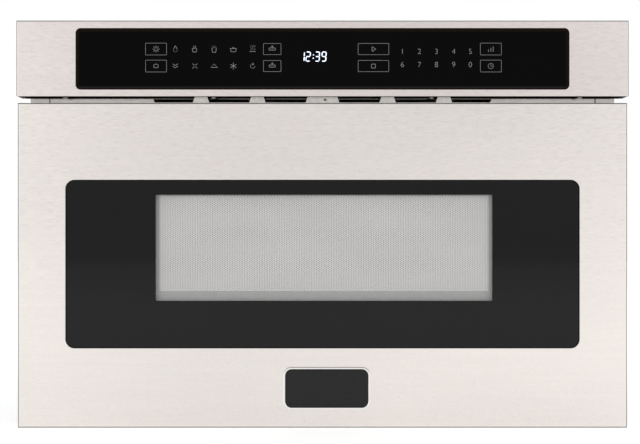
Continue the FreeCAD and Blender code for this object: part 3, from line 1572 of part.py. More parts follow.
def gear_motor():
    """Gearbox on a foot, with the motor's can behind it."""
    x0, x1 = gearbox_x, gearbox_x + gearbox_length
    y0 = motor_shaft_y - gearbox_spindle_offset
    y1 = y0 + gearbox_depth
    z0 = shaft_z - gearbox_height / 2
    gearbox = box(x0, x1, y0, y1, z0, z0 + gearbox_height)
    inset = gearbox_foot_inset
    can = rod_x(x1, x1 + motor_can_length, y1 - motor_can_radius - inset, shaft_z, motor_can_radius)
    foot = box(x0 + inset, x1 - inset, y0 + inset, y1 - inset, base_top, z0)
    bore = rod_x(x0 - past, x0 + spindle_depth + past, motor_shaft_y, shaft_z,
                 motor_spindle_radius + running_fit)
    return holed(union([gearbox, can, foot]), [bore])


def rack():
    """Toothed bar hung under the right inner member; its teeth point down."""
    pitch = math.pi * rack_module
    half_tooth = pitch / 4 - tooth_play / 2
    slope = math.tan(pressure_angle)
    tip, root = rack_z - rack_module, rack_z + root_depth * rack_module
    y0 = panel_back_y
    y1 = shaft_y + drawer_travel + rack_spare * pitch
    outline = [(y0, root)]
    first = math.ceil((y0 + pitch - shaft_y) / pitch)
    last = math.floor((y1 - pitch - shaft_y) / pitch)
    for number in range(first, last + 1):
        middle = shaft_y + number * pitch
        wide = half_tooth + (root - rack_z) * slope
        narrow = half_tooth - (rack_z - tip) * slope
        outline += [(middle - wide, root), (middle - narrow, tip), (middle + narrow, tip),
                    (middle + wide, root)]
    outline += [(y1, root), (y1, root + rack_back), (y0, root + rack_back)]
    bar = prism_x(outline, rack_inner, rack_outer)
    web = box(rack_outer - rack_web, rack_outer, y0, y1, root,
              slide_z + inner_half - rack_web_inset)
    return union([bar, web])


# ---------------------------------------------------------------- interlock
def hook_levels():
    """(side, lower edge) of the three latch hooks."""
    return [(1, chassis_lift + primary_level), (1, chassis_lift + secondary_level),
            (-1, chassis_lift + monitor_level)]


def hook_screw_points():
    x = hook_x + hook_screw_offset
    y = panel_back_y + hook_foot_sheet
    return [(side * x, y, z + hook_height / 2) for side, z in hook_levels()]


def latch_hook(side, z):
    """Hook on a foot screwed to the drawer frame; it reaches through the front frame."""
    y0 = panel_back_y
    y1 = y0 + hook_reach
    half = hook_sheet / 2
    arm = box(hook_x - half, hook_x + half, y0, y1, z, z + hook_height)
    notch_y = y1 - hook_notch_start
    notch = box(hook_x - half - past, hook_x + half + past, notch_y, notch_y + hook_notch_width,
                z - past, z + hook_notch_height)
    foot_y = y0 + hook_foot_sheet
    foot = box(hook_x - half, hook_x + hook_base, y0, foot_y, z, z + hook_height)
    hole = screw_hole((hook_x + hook_screw_offset, foot_y, z + hook_height / 2), (0, -1, 0))
    hook = holed(union([arm, foot]), [notch, hole])
    return hook if side > 0 else mirrored(hook)


def switch_front_y():
    return panel_back_y + hook_reach + plunger_gap + plunger_reach


def interlock_switch(side, z):
    """Micro switch on a bracket behind the front frame."""
    y0 = switch_front_y()
    x0, x1 = hook_x - switch_width / 2, hook_x + switch_width / 2
    middle = z + hook_height / 2
    body = box(x0, x1, y0, y0 + switch_length, middle - switch_height / 2, middle + switch_height / 2)
    bore = rod_y(hook_x, y0 - past, y0 + plunger_depth + plunger_play + past, middle,
                 plunger_radius + running_fit)
    arm = box(x1, x1 + bracket_sheet, frame_back_y, y0 + switch_length,
              middle - switch_height / 2, middle + switch_height / 2)
    shape = union([body.cut(bore), arm])
    return shape if side > 0 else mirrored(shape)


def switch_plunger(side, z):
    """Round plunger with its tip just behind the hook."""
    y0 = switch_front_y()
    middle = z + hook_height / 2
    shape = rod_y(side * hook_x, y0 - plunger_reach, y0 + plunger_depth, middle, plunger_radius)
    return shape


# ---------------------------------------------------------------- write the nodes
def screws(points, direction, head_radius=screw_head_radius, head_height=screw_head):
    return [screw(point, direction, head_radius, head_height) for point in points]


def write_chassis():
    save("front_frame", front_frame())
    save("base_pan", base_pan())
    save("outer_wrapper", outer_wrapper())
    save("rear_cover", rear_cover())
    save("cavity_supports", *cavity_supports())
    save("cavity_box", cavity_box())
    save("stirrer_cover", stirrer_cover())
    save("cavity_lamp", cavity_lamp())
    save("thermal_cutout", thermal_cutout())
    save("cord_bushing", cord_bushing())
    save("noise_filter", noise_filter())
    save("slide_brackets", *both_sides(slide_bracket()))
    base_screws = both_sides(*screws([bracket_screw_point()], (0, 0, -1)))
    save("chassis_screws",
         *screws(gap_screw_points(), (0, 0, 1), gap_screw_head_radius, low_head),
         *screws(rear_screw_points(), (0, -1, 0)),
         *base_screws)


def write_source_and_air():
    save("waveguide", waveguide())
    save("magnetron", magnetron())
    save("hv_transformer", transformer_core(), *transformer_windings())
    save("hv_capacitor", hv_capacitor())
    save("stirrer_motor", stirrer_motor())
    save("stirrer", stirrer())
    save("fan_housing", fan_housing(), fan_motor())
    save("fan_impeller", fan_impeller())
    save("exhaust_duct", exhaust_duct())
    save("vent_louver", vent_louver())


def write_controls():
    save("control_fascia", control_fascia())
    save("control_bezel", control_bezel())
    save("control_glass", control_glass())
    save("control_housing", control_housing())
    save("control_board", control_board(), display_module())
    save("power_board", power_board())
    save("ribbon_cable", ribbon_cable())


def write_drawer():
    save("drawer_fascia", drawer_fascia())
    save("drawer_glass", drawer_glass())
    save("glass_holder", glass_holder())
    save("door_screen", door_screen())
    save("drawer_frame", drawer_frame())
    save("inner_window", inner_window())
    save("choke_cover", choke_cover())
    save("door_gasket", door_gasket())
    save("badge_frame", badge_frame())
    save("badge_plate", badge_plate())
    save("tray", tray())
    save("ceramic_floor", ceramic_floor())
    save("tray_glides", *tray_glides())
    points = drawer_screw_points() + slide_screw_points() + hook_screw_points()
    save("drawer_screws", *screws(points, (0, -1, 0)))
    save("latch_hooks", *[latch_hook(side, z) for side, z in hook_levels()])


def write_slides_and_drive():
    save("slide_outer_members", *both_sides(slide_outer()))
    save("slide_middle_members", *both_sides(slide_middle()))
    save("slide_inner_members", *both_sides(slide_inner()))
    for name, web_end, ball_z in (
            ("ball_cages_outer", outer_web, outer_ball_z),
            ("ball_cages_inner", middle_start + middle_web, inner_ball_z)):
        pieces = [ball_cage(web_end + cage_start, ball_z)] + balls(ball_z)
        save(name, *pieces, *[mirrored(piece) for piece in pieces])
    save("racks", *both_sides(rack()))
    save("drive_shaft", drive_shaft())
    save("shaft_gears", *both_sides(rack_pinion()), shaft_gear())
    save("shaft_bushes", *both_sides(shaft_bush()))
    save("gear_motor", gear_motor())
    save("motor_gear", motor_gear())
    save("interlock_switches", *[interlock_switch(side, z) for side, z in hook_levels()])
    for name, (side, z) in zip(("primary", "secondary", "monitor"), hook_levels()):
        save(name + "_plunger", switch_plunger(side, z))


os.makedirs("parts", exist_ok=True)
write_chassis()
write_source_and_air()
write_controls()
write_drawer()
write_slides_and_drive()
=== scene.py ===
import math

import bpy
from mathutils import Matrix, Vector

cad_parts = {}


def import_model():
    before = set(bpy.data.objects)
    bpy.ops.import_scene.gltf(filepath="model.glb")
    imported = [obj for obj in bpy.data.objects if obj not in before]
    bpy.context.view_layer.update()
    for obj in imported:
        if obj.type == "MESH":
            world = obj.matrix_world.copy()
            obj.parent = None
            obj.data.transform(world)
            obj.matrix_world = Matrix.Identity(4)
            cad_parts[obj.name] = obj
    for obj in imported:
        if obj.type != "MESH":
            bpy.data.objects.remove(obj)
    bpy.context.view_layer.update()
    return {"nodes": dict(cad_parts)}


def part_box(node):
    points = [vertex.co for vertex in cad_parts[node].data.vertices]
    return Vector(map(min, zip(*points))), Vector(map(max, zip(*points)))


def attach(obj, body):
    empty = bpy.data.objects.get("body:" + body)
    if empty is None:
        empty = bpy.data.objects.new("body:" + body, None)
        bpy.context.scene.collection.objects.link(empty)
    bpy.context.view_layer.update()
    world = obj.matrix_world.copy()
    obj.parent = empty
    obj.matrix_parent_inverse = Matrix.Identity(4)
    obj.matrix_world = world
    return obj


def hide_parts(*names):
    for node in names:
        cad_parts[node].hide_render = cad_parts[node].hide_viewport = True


# Looks of the built-in microwave drawer. Lengths are in metres, in the frame of the CAD model:
# X right, Y back, Z up, with the drawer's front facing -Y.

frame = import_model()

# ---------------------------------------------------------------- the photograph's framing
PIXEL = 0.00099                 # one pixel of the photograph on the object's front
IMAGE_WIDTH = 640
IMAGE_HEIGHT = 444
MIDDLE_PX = 322.5               # the object's middle in the photograph
PANEL_TOP_PY = 20.45            # the control panel's upper edge
CAMERA_DISTANCE = 1.5           # from the object's front
SENSOR_WIDTH = 0.036

# ---------------------------------------------------------------- glass and screen
GLASS_CHAMFER = 0.0003
GLASS_CORNER = 0.0085
GLASS_STEPS = 6                 # points along a round corner
WINDOW_MARGIN = 0.012           # the screen reaches this far past the window
WINDOW_CORNER = 0.0006
HOLE_PITCH = 0.001925           # vertical pitch of the screen's holes
HOLE_COLUMN = HOLE_PITCH * math.sqrt(3) / 2
HOLE_RADIUS = 0.00048
SCREEN_SIDE_BAND = 0.0030       # plain strips beside and under the holes
SCREEN_LOW_BAND = 0.0100
SCREEN_CORNER = 0.003
CONTROL_EDGE = 0.002            # brown print along the control glass's edge
CONTROL_HIGHLIGHT = (0.0004, 0.0016) # painted highlight where the lower chamfer catches light, just above the lower edge

# ---------------------------------------------------------------- prints on the control glass
PRINT_LIFT = 0.00004            # in front of the glass
LINE_WIDTH = 0.0004
BOX_LINE_WIDTH = 0.00028
ICON_SIZE = 0.0070
DIGIT_SIZE = 0.0076
DIGIT_THINNING = 0.00016
KEY_ROW_PY = (20.9, 37.9)       # below the black area's upper edge, in photograph pixels
DIGIT_ROW_PY = (23.5, 36.7)
CLOCK_PY = 28.4
LEFT_KEY_PX = 156.0
LEFT_ICON_PX = (175.3, 194.8, 214.1, 233.3, 252.6)
DRAWER_KEY_PX = 272.2
START_KEY_PX = 373.5
DIGIT_PX = (402.4, 419.4, 436.5, 453.7, 470.4)
POWER_KEY_PX = 490.9
SMALL_KEY = (0.0208, 0.0117)    # width and height of the outlined keys
DRAWER_KEY = (0.0174, 0.0110)
START_KEY = (0.0303, 0.0111)
CLOCK_DIGITS = (("1", 302.4), ("2", 305.4), ("3", 314.6), ("9", 321.2))
CLOCK_DOTS_PX = 313.1
CLOCK_WIDTH = 0.0050
CLOCK_HEIGHT = 0.0101
CLOCK_STROKE = 0.00105
CLOCK_POINT = CLOCK_STROKE * 0.62       # length of a segment's pointed end
CLOCK_POINT_GAP = CLOCK_POINT * 0.2     # from a segment's point to the cell's corner
CLOCK_SLANT = 0.05
CLOCK_DOT_LEVELS = (0.34, 0.66)         # in shares of the clock's height
SEGMENTS = {                    # lit segments: a top, then clockwise, g in the middle
    "1": "bc",
    "2": "abged",
    "3": "abgcd",
    "9": "abcdfg",
}

# ---------------------------------------------------------------- places on the inner pieces
CORE_HALF = 0.0222              # from the middle of the transformer's core to its front and back
FLAT_BOARD = (0.0055, 0.0081)   # a lying board is between these heights over its node's foot
UPRIGHT_BOARD = (0.0158, 0.0135)        # a standing board, between these distances from the rear
RIBBON_WAVE_SCALE = 150.0       # one ridge about every 2 mm

# ---------------------------------------------------------------- light and floor
LAMP_TARGET = (0, 0, 0.2)
LAMPS = (                       # name, place, width and height, power in watts
    ("key_lamp", (-1.9, -2.6, 0.8), (1.4, 1.2), 8),
    ("fill_lamp", (1.9, -2.6, 0.8), (1.4, 1.2), 7),
    ("back_lamp", (0.3, 1.8, 1.6), (1.6, 1.2), 10),
)
FLOOR_HALF = 6.0
FLOOR_GREY = 0.86
FLOOR_GLOW = (("Is Camera Ray", 0.5), ("Is Glossy Ray", 0.40))
WORLD_LIGHT = 0.68              # the level that lights the object
WORLD_LEVELS = (("Is Camera Ray", 1.0), ("Is Transmission Ray", 1.0), ("Is Glossy Ray", 0.74))


# ---------------------------------------------------------------- colours and materials
def rgb(red, green, blue):
    """Colour of 0 to 255 display values as the shader wants it."""
    def linear(value):
        share = value / 255
        return share / 12.92 if share <= 0.04045 else ((share + 0.055) / 1.055) ** 2.4
    return linear(red), linear(green), linear(blue), 1.0


class Surface:
    """A Principled material; its nodes are added by the calls below."""

    def __init__(self, name, roughness, metallic=0.0, specular=0.5):
        self.material = bpy.data.materials.new(name)
        self.material.use_nodes = True
        self.nodes = self.material.node_tree.nodes
        self.links = self.material.node_tree.links
        self.shader = self.nodes["Principled BSDF"]
        self.shader.inputs["Roughness"].default_value = roughness
        self.shader.inputs["Metallic"].default_value = metallic
        self.shader.inputs["Specular IOR Level"].default_value = specular
        coordinates = self.nodes.new("ShaderNodeTexCoord")
        self.place = coordinates.outputs["Object"]
        self.facing = coordinates.outputs["Normal"]

    def noise(self, scale, detail=3.0):
        """Noise of so many repeats per metre along X, Y and Z."""
        mapping = self.nodes.new("ShaderNodeMapping")
        mapping.inputs["Scale"].default_value = scale
        self.links.new(self.place, mapping.inputs["Vector"])
        noise = self.nodes.new("ShaderNodeTexNoise")
        noise.inputs["Scale"].default_value = 1.0
        noise.inputs["Detail"].default_value = detail
        self.links.new(mapping.outputs["Vector"], noise.inputs["Vector"])
        return noise.outputs["Fac"]

    def cells(self, scale):
        """Irregular crystals of one shade each, so many per metre."""
        cells = self.nodes.new("ShaderNodeTexVoronoi")
        cells.inputs["Scale"].default_value = scale
        self.links.new(self.place, cells.inputs["Vector"])
        grey = self.nodes.new("ShaderNodeSeparateColor")
        self.links.new(cells.outputs["Color"], grey.inputs["Color"])
        return grey.outputs["Red"]

    def spread(self, value, low, high, start=0.3, end=0.7):
        """Value's range from start to end becomes the numbers from low to high."""
        spread = self.nodes.new("ShaderNodeMapRange")
        spread.inputs["From Min"].default_value = start
        spread.inputs["From Max"].default_value = end
        spread.inputs["To Min"].default_value = low
        spread.inputs["To Max"].default_value = high
        self.links.new(value, spread.inputs["Value"])
        return spread.outputs["Result"]

    def blend(self, value, first, second):
        """Colour that goes from first to second with the value; each is a colour or an output."""
        mix = self.nodes.new("ShaderNodeMix")
        mix.data_type = "RGBA"
        self.links.new(value, mix.inputs["Factor"])
        for socket, colour in ((mix.inputs[6], first), (mix.inputs[7], second)):
            if isinstance(colour, tuple):
                socket.default_value = colour
            else:
                self.links.new(colour, socket)
        return mix.outputs[2]

    def within(self, axis, low, high, source=None):
        """1 where the place along one axis is between low and high, otherwise 0."""
        parts = self.nodes.new("ShaderNodeSeparateXYZ")
        self.links.new(source or self.place, parts.inputs["Vector"])
        above = self.compare("GREATER_THAN", parts.outputs[axis], low)
        below = self.compare("LESS_THAN", parts.outputs[axis], high)
        return self.both(above, below)

    def compare(self, operation, value, limit):
        test = self.nodes.new("ShaderNodeMath")
        test.operation = operation
        test.inputs[1].default_value = limit
        self.links.new(value, test.inputs[0])
        return test.outputs["Value"]

    def both(self, first, second):
        product = self.nodes.new("ShaderNodeMath")
        product.operation = "MULTIPLY"
        self.links.new(first, product.inputs[0])
        self.links.new(second, product.inputs[1])
        return product.outputs["Value"]

    def colour(self, output):
        self.links.new(output, self.shader.inputs["Base Color"])

    def roughen(self, value, low, high):
        self.links.new(self.spread(value, low, high), self.shader.inputs["Roughness"])

    def lean(self, rise):
        """Tilt the sheet's own direction up or down a little, as bent sheet is never quite upright."""
        geometry = self.nodes.new("ShaderNodeNewGeometry")
        tilt = self.nodes.new("ShaderNodeVectorMath")
        tilt.operation = "ADD"
        tilt.inputs[1].default_value = (0, 0, rise)
        self.links.new(geometry.outputs["Normal"], tilt.inputs[0])
        self.links.new(tilt.outputs["Vector"], self.shader.inputs["Normal"])

    def bump(self, value, height):
        bump = self.nodes.new("ShaderNodeBump")
        bump.inputs["Distance"].default_value = height
        bump.inputs["Strength"].default_value = 1.0
        self.links.new(value, bump.inputs["Height"])
        self.links.new(bump.outputs["Normal"], self.shader.inputs["Normal"])


def grained(name, dark, light, scale, roughness, height, metallic=0.0, specular=0.5):
    """Material whose colour, roughness and height follow one noise."""
    surface = Surface(name, roughness[0], metallic, specular)
    noise = surface.noise(scale)
    surface.colour(surface.blend(surface.spread(noise, 0, 1), dark, light))
    surface.roughen(noise, *roughness)
    surface.bump(noise, height)
    return surface.material


def brushed_steel(name, cool, warm, roughness=(0.26, 0.36)):
    """Stainless sheet with a short horizontal grain; its bent edges get painted shade, a dark grey that
    stands in for the dark surroundings they reflect.
    """
    surface = Surface(name, roughness[0], metallic=1.0)
    grain = surface.noise((120, 300, 700), detail=2.0)
    streaks = surface.noise((9, 30, 200), detail=2.0)
    clouds = surface.noise((2.4, 3.0, 5.0), detail=1.0)
    dull = rgb(120, 116, 112)
    tint = surface.blend(surface.spread(clouds, 0, 1), cool, warm)
    shade = surface.blend(surface.spread(streaks, 0, 0.03), tint, dull)
    grey = surface.blend(surface.spread(grain, 0.05, 0, 0.25, 0.75), shade, dull)
    # Painted shade: faces that turn away from the front get a dark grey that stands in for the dark
    # surroundings their bends reflect.
    painted_edge_shade = surface.within("Y", -0.97, -0.12, surface.facing)
    surface.colour(surface.blend(painted_edge_shade, grey, rgb(112, 110, 108)))
    surface.roughen(grain, *roughness)
    surface.bump(grain, 0.000012)
    return surface.material


def flange_steel():
    """Smooth dull steel of the front frame, whose strip in the gap leans down a little."""
    surface = Surface("flange_steel", 0.16, metallic=1.0)
    grain = surface.noise((60, 60, 500), detail=2.0)
    surface.colour(surface.blend(surface.spread(grain, 0, 1), rgb(196, 191, 187), rgb(218, 213, 209)))
    surface.roughen(grain, 0.13, 0.19)
    surface.lean(-0.045)
    return surface.material


def badge_satin():
    """Bright satin rim of the badge; its edges that face up are painted darker, a painted shadow line
    along the rim's top.
    """
    surface = Surface("badge_satin", 0.38, metallic=1.0)
    fine = surface.noise((300, 300, 300))
    flat = surface.blend(fine, rgb(246, 244, 241), rgb(254, 252, 249))
    # Painted shadow: faces that turn upward get a dark grey, a shadow line along the rim's top.
    painted_edge_shade = surface.within("Z", 0.3, 1.1, surface.facing)
    surface.colour(surface.blend(painted_edge_shade, flat, rgb(96, 93, 90)))
    surface.roughen(fine, 0.34, 0.42)
    return surface.material


def plated_steel(name, dark, light, grain=150):
    """Zinc-plated sheet: flat crystals of slightly different shades."""
    surface = Surface(name, 0.4, metallic=0.9)
    crystals = surface.cells(grain)
    fine = surface.noise((900, 900, 900))
    shade = surface.blend(crystals, dark, light)
    surface.colour(surface.blend(surface.spread(fine, 0, 0.12), shade, rgb(110, 112, 114)))
    surface.roughen(fine, 0.32, 0.46)
    surface.bump(fine, 0.00001)
    return surface.material


def black_glass(name, tint, specular):
    """Glass with a black print, a little paler in faint clouds."""
    surface = Surface(name, 0.04, specular=specular)
    haze = surface.noise((5, 5, 9), detail=1.0)
    light = tuple(1.35 * part for part in tint[:3]) + (1.0,)
    surface.colour(surface.blend(surface.spread(haze, 0, 1), tint, light))
    surface.roughen(surface.noise((700, 700, 700)), 0.03, 0.06)
    return surface.material


def control_black():
    """Black touch glass with a brown printed edge and a painted highlight, a paler line along its lower
    edge where the chamfer catches the light.
    """
    surface = Surface("control_black", 0.04, specular=0.03)
    low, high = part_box("control_glass")
    haze = surface.noise((5, 5, 9), detail=1.0)
    black = surface.blend(haze, rgb(9, 9, 9), rgb(12, 12, 12))
    inner_x = surface.within("X", low.x + CONTROL_EDGE, high.x - CONTROL_EDGE)
    inner_z = surface.within("Z", low.z + CONTROL_EDGE, high.z - CONTROL_EDGE)
    edged = surface.blend(surface.both(inner_x, inner_z), rgb(28, 20, 16), black)
    # Painted highlight: a paler line just above the lower edge, where the glass's chamfer catches the
    # light.
    painted_highlight = surface.within("Z", low.z + CONTROL_HIGHLIGHT[0], low.z + CONTROL_HIGHLIGHT[1])
    surface.colour(surface.blend(surface.both(inner_x, painted_highlight), edged, rgb(38, 38, 37)))
    surface.roughen(surface.noise((700, 700, 700)), 0.03, 0.06)
    return surface.material


def clear_glass(name, alpha):
    """Thin clear pane: mostly see-through, with the gloss of glass."""
    surface = Surface(name, 0.03)
    haze = surface.noise((12, 12, 30), detail=1.0)
    surface.colour(surface.blend(haze, rgb(8, 10, 10), rgb(14, 17, 16)))
    surface.roughen(haze, 0.02, 0.05)
    surface.shader.inputs["Alpha"].default_value = alpha
    return surface.material


def glowing(name, colour, strength):
    """Lit display segment; its glow varies a little over the digit."""
    surface = Surface(name, 0.5)
    noise = surface.noise((300, 300, 300))
    glow = surface.blend(surface.spread(noise, 0, 1), colour, rgb(255, 255, 255))
    surface.colour(glow)
    surface.links.new(glow, surface.shader.inputs["Emission Color"])
    surface.shader.inputs["Emission Strength"].default_value = strength
    return surface.material


def transformer_look():
    """Rows of steel laminations, with enamelled copper where the windings stand out."""
    surface = Surface("transformer", 0.45, metallic=0.6)
    low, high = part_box("hv_transformer")
    middle = (low.y + high.y) / 2
    stack = surface.noise((60, 2200, 60), detail=1.0)
    steel = surface.blend(surface.spread(stack, 0, 1), rgb(74, 72, 70), rgb(128, 126, 122))
    wire = surface.noise((30, 30, 1700), detail=1.0)
    copper = surface.blend(surface.spread(wire, 0, 1), rgb(96, 40, 18), rgb(186, 98, 52))
    inside = surface.within("Y", middle - CORE_HALF, middle + CORE_HALF)
    surface.colour(surface.blend(inside, copper, steel))
    surface.bump(wire, 0.00006)
    surface.roughen(stack, 0.35, 0.55)
    return surface.material


def board_look(name, node, board_limits):
    """Green circuit board with traces; what stands on it is dark plastic and metal."""
    surface = Surface(name, 0.4)
    low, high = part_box(node)
    traces = surface.cells(240)
    green = surface.blend(surface.spread(traces, 0, 1, 0.45, 0.55), rgb(14, 70, 40), rgb(26, 98, 58))
    speck = surface.noise((90, 90, 90), detail=2.0)
    parts = surface.blend(surface.spread(speck, 0, 1, 0.45, 0.55), rgb(28, 28, 30), rgb(60, 62, 66))
    axis, start, end = board_limits(low, high)
    flat = surface.within(axis, start, end)
    surface.colour(surface.blend(flat, parts, green))
    surface.roughen(speck, 0.3, 0.5)
    surface.bump(traces, 0.00004)
    return surface.material


def perforated_steel():
    """Sheet between the screen's holes, painted near white: painted light that stands in for the lit
    inside seen through the holes.
    """
    surface = Surface("screen_steel_painted_light", 0.42, metallic=0.35)
    clouds = surface.noise((14, 14, 22), detail=1.0)
    fine = surface.noise((420, 420, 420))
    shade = surface.blend(surface.spread(clouds, 0, 1), rgb(250, 249, 248), rgb(255, 254, 253))
    surface.colour(surface.blend(surface.spread(fine, 0, 0.05), shade, rgb(150, 150, 150)))
    surface.roughen(fine, 0.36, 0.5)
    return surface.material


def ceramic_look():
    """Beige glass ceramic with fine brown specks."""
    surface = Surface("glass_ceramic", 0.18)
    specks = surface.noise((520, 520, 520), detail=2.0)
    base = surface.noise((8, 8, 8))
    body = surface.blend(base, rgb(206, 198, 184), rgb(222, 216, 204))
    surface.colour(surface.blend(surface.spread(specks, 0, 0.6, 0.62, 0.7), body, rgb(120, 104, 84)))
    surface.roughen(base, 0.14, 0.22)
    return surface.material


def mica_look():
    """Pressed mica: flat flakes of brown and straw."""
    surface = Surface("mica", 0.3)
    flakes = surface.cells(260)
    surface.colour(surface.blend(flakes, rgb(150, 128, 96), rgb(206, 190, 158)))
    surface.roughen(flakes, 0.2, 0.4)
    surface.bump(flakes, 0.00005)
    return surface.material


def plastic(name, dark, light, roughness=(0.38, 0.5)):
    """Moulded plastic with a fine spark-eroded grain."""
    return grained(name, dark, light, (900, 900, 900), roughness, 0.00003)


def ribbed_cable():
    """Grey ribbon cable: its wires are ridges along the strip."""
    surface = Surface("ribbon", 0.45)
    wave = surface.nodes.new("ShaderNodeTexWave")
    wave.bands_direction = "X"
    wave.inputs["Scale"].default_value = RIBBON_WAVE_SCALE
    surface.links.new(surface.place, wave.inputs["Vector"])
    ridges = wave.outputs["Fac"]
    surface.colour(surface.blend(ridges, rgb(120, 124, 130), rgb(188, 190, 194)))
    surface.bump(ridges, 0.0003)
    return surface.material


def dress(material, *nodes):
    """Give the material to CAD nodes that keep their shape."""
    for name in nodes:
        node = frame["nodes"][name]
        if not node.material_slots:
            node.data.materials.append(material)
        for slot in node.material_slots:
            slot.link = "OBJECT"
            slot.material = material


def board_flat(low, high):
    """Axis and limits of a board that lies on its standoffs."""
    return "Z", low.z + FLAT_BOARD[0], low.z + FLAT_BOARD[1]


def board_upright(low, high):
    """Axis and limits of the board behind the control glass, with the display on its front."""
    return "Y", high.y - UPRIGHT_BOARD[0], high.y - UPRIGHT_BOARD[1]


def dress_fronts():
    dress(brushed_steel("front_stainless", rgb(238, 232, 228), rgb(248, 241, 236)),
          "drawer_fascia")
    # Painted shade: the panel's stainless is a slightly darker copy of the front's, for the shade on
    # the upper part.
    dress(brushed_steel("panel_stainless_shaded", rgb(232, 224, 220), rgb(242, 234, 230)),
          "control_fascia")
    dress(flange_steel(), "front_frame")
    dress(grained("louver_zinc", rgb(214, 210, 206), rgb(236, 232, 228), (300, 300, 300), (0.3, 0.42),
                  0.00001, metallic=0.5), "vent_louver")
    dress(control_black(), "control_glass")
    dress(grained("bezel_black", rgb(22, 14, 11), rgb(28, 18, 15), (600, 600, 600), (0.3, 0.45),
                  0.00001, specular=0.06), "control_bezel")
    dress(grained("housing_black", rgb(40, 36, 34), rgb(52, 47, 45), (900, 900, 900), (0.5, 0.6),
                  0.00003, specular=0.0), "control_housing")
    dress(plastic("holder_black", rgb(20, 20, 20), rgb(30, 30, 30)), "glass_holder")
    dress(badge_satin(), "badge_frame")
    dress(grained("badge_black", rgb(38, 38, 38), rgb(48, 48, 48), (700, 700, 700), (0.3, 0.42),
                  0.00001, specular=0.16), "badge_plate")
    dress(grained("screw_steel", rgb(150, 150, 150), rgb(212, 212, 212), (500, 500, 500),
                  (0.2, 0.34), 0.00001, metallic=1.0), "chassis_screws", "drawer_screws")


def dress_chassis():
    dress(plated_steel("wrapper_zinc", rgb(160, 163, 166), rgb(176, 179, 182)), "outer_wrapper")
    dress(plated_steel("cover_zinc", rgb(154, 158, 161), rgb(171, 175, 178), grain=170), "rear_cover")
    dress(plated_steel("base_zinc", rgb(149, 152, 154), rgb(165, 168, 170), grain=130), "base_pan")
    dress(plated_steel("bracket_zinc", rgb(160, 162, 162), rgb(184, 186, 186), grain=220),
          "cavity_supports", "slide_brackets", "exhaust_duct", "drawer_frame")
    dress(grained("cavity_enamel", rgb(176, 178, 180), rgb(200, 202, 204), (500, 500, 500),
                  (0.24, 0.34), 0.00002), "cavity_box")
    dress(mica_look(), "stirrer_cover")
    dress(grained("lamp_tin", rgb(158, 160, 164), rgb(206, 208, 212), (260, 260, 260),
                  (0.25, 0.4), 0.00001, metallic=0.9), "cavity_lamp", "waveguide")
    dress(plastic("bakelite", rgb(34, 22, 18), rgb(52, 34, 28), (0.25, 0.35)), "thermal_cutout")
    dress(plastic("gland_black", rgb(16, 16, 17), rgb(28, 28, 30)), "cord_bushing")
    dress(grained("slide_zinc", rgb(150, 152, 156), rgb(206, 208, 212), (300, 12, 300),
                  (0.24, 0.36), 0.00001, metallic=1.0),
          "slide_outer_members", "slide_middle_members", "slide_inner_members")
    dress(grained("cage_brass", rgb(158, 130, 74), rgb(206, 178, 112), (400, 30, 400),
                  (0.25, 0.38), 0.00001, metallic=0.9), "ball_cages_outer", "ball_cages_inner")


def dress_works():
    dress(transformer_look(), "hv_transformer")
    dress(grained("magnetron_alloy", rgb(150, 152, 156), rgb(204, 206, 208), (30, 400, 30),
                  (0.3, 0.45), 0.00002, metallic=0.9), "magnetron")
    dress(grained("capacitor_can", rgb(168, 170, 172), rgb(208, 210, 212), (60, 60, 900),
                  (0.22, 0.34), 0.00001, metallic=0.9), "hv_capacitor")
    dress(grained("motor_steel", rgb(128, 130, 132), rgb(176, 178, 180), (200, 200, 600),
                  (0.3, 0.42), 0.00001, metallic=0.9), "stirrer_motor")
    dress(plastic("fan_black", rgb(20, 21, 22), rgb(36, 37, 38)), "fan_housing")
    dress(plastic("impeller_grey", rgb(60, 62, 66), rgb(82, 84, 88)), "fan_impeller")
    dress(grained("stirrer_alloy", rgb(176, 178, 180), rgb(216, 218, 220), (200, 40, 200),
                  (0.25, 0.35), 0.00001, metallic=0.9), "stirrer")
    dress(board_look("filter_board", "noise_filter", board_flat), "noise_filter")
    dress(board_look("relay_board", "power_board", board_flat), "power_board")
    dress(board_look("touch_board", "control_board", board_upright), "control_board")
    dress(ribbed_cable(), "ribbon_cable")
    dress(grained("gearbox_grey", rgb(52, 54, 58), rgb(80, 82, 86), (500, 500, 500),
                  (0.35, 0.5), 0.00003, metallic=0.3), "gear_motor")
    dress(plastic("acetal_white", rgb(214, 212, 204), rgb(232, 230, 222), (0.3, 0.4)),
          "racks", "shaft_gears", "motor_gear", "tray_glides")
    dress(grained("shaft_steel", rgb(150, 150, 152), rgb(204, 204, 206), (14, 500, 500),
                  (0.18, 0.3), 0.00001, metallic=1.0), "drive_shaft")
    dress(grained("bush_bronze", rgb(128, 92, 52), rgb(176, 134, 80), (600, 600, 600),
                  (0.3, 0.45), 0.00002, metallic=0.9), "shaft_bushes")
    dress(plastic("switch_blue", rgb(24, 34, 62), rgb(36, 48, 82)), "interlock_switches")
    dress(plastic("plunger_red", rgb(150, 28, 24), rgb(182, 42, 36)),
          "primary_plunger", "secondary_plunger", "monitor_plunger")


def dress_drawer():
    dress(brushed_steel("tray_stainless", rgb(186, 184, 182), rgb(206, 203, 200)), "tray")
    dress(ceramic_look(), "ceramic_floor")
    dress(clear_glass("inner_glass", 0.08), "inner_window")
    dress(plastic("choke_grey", rgb(54, 55, 58), rgb(72, 73, 76)), "choke_cover")
    dress(grained("gasket_rubber", rgb(24, 24, 25), rgb(38, 38, 40), (700, 700, 700),
                  (0.6, 0.75), 0.00005), "door_gasket")
    dress(plastic("hook_nylon", rgb(44, 45, 48), rgb(62, 63, 66)), "latch_hooks")


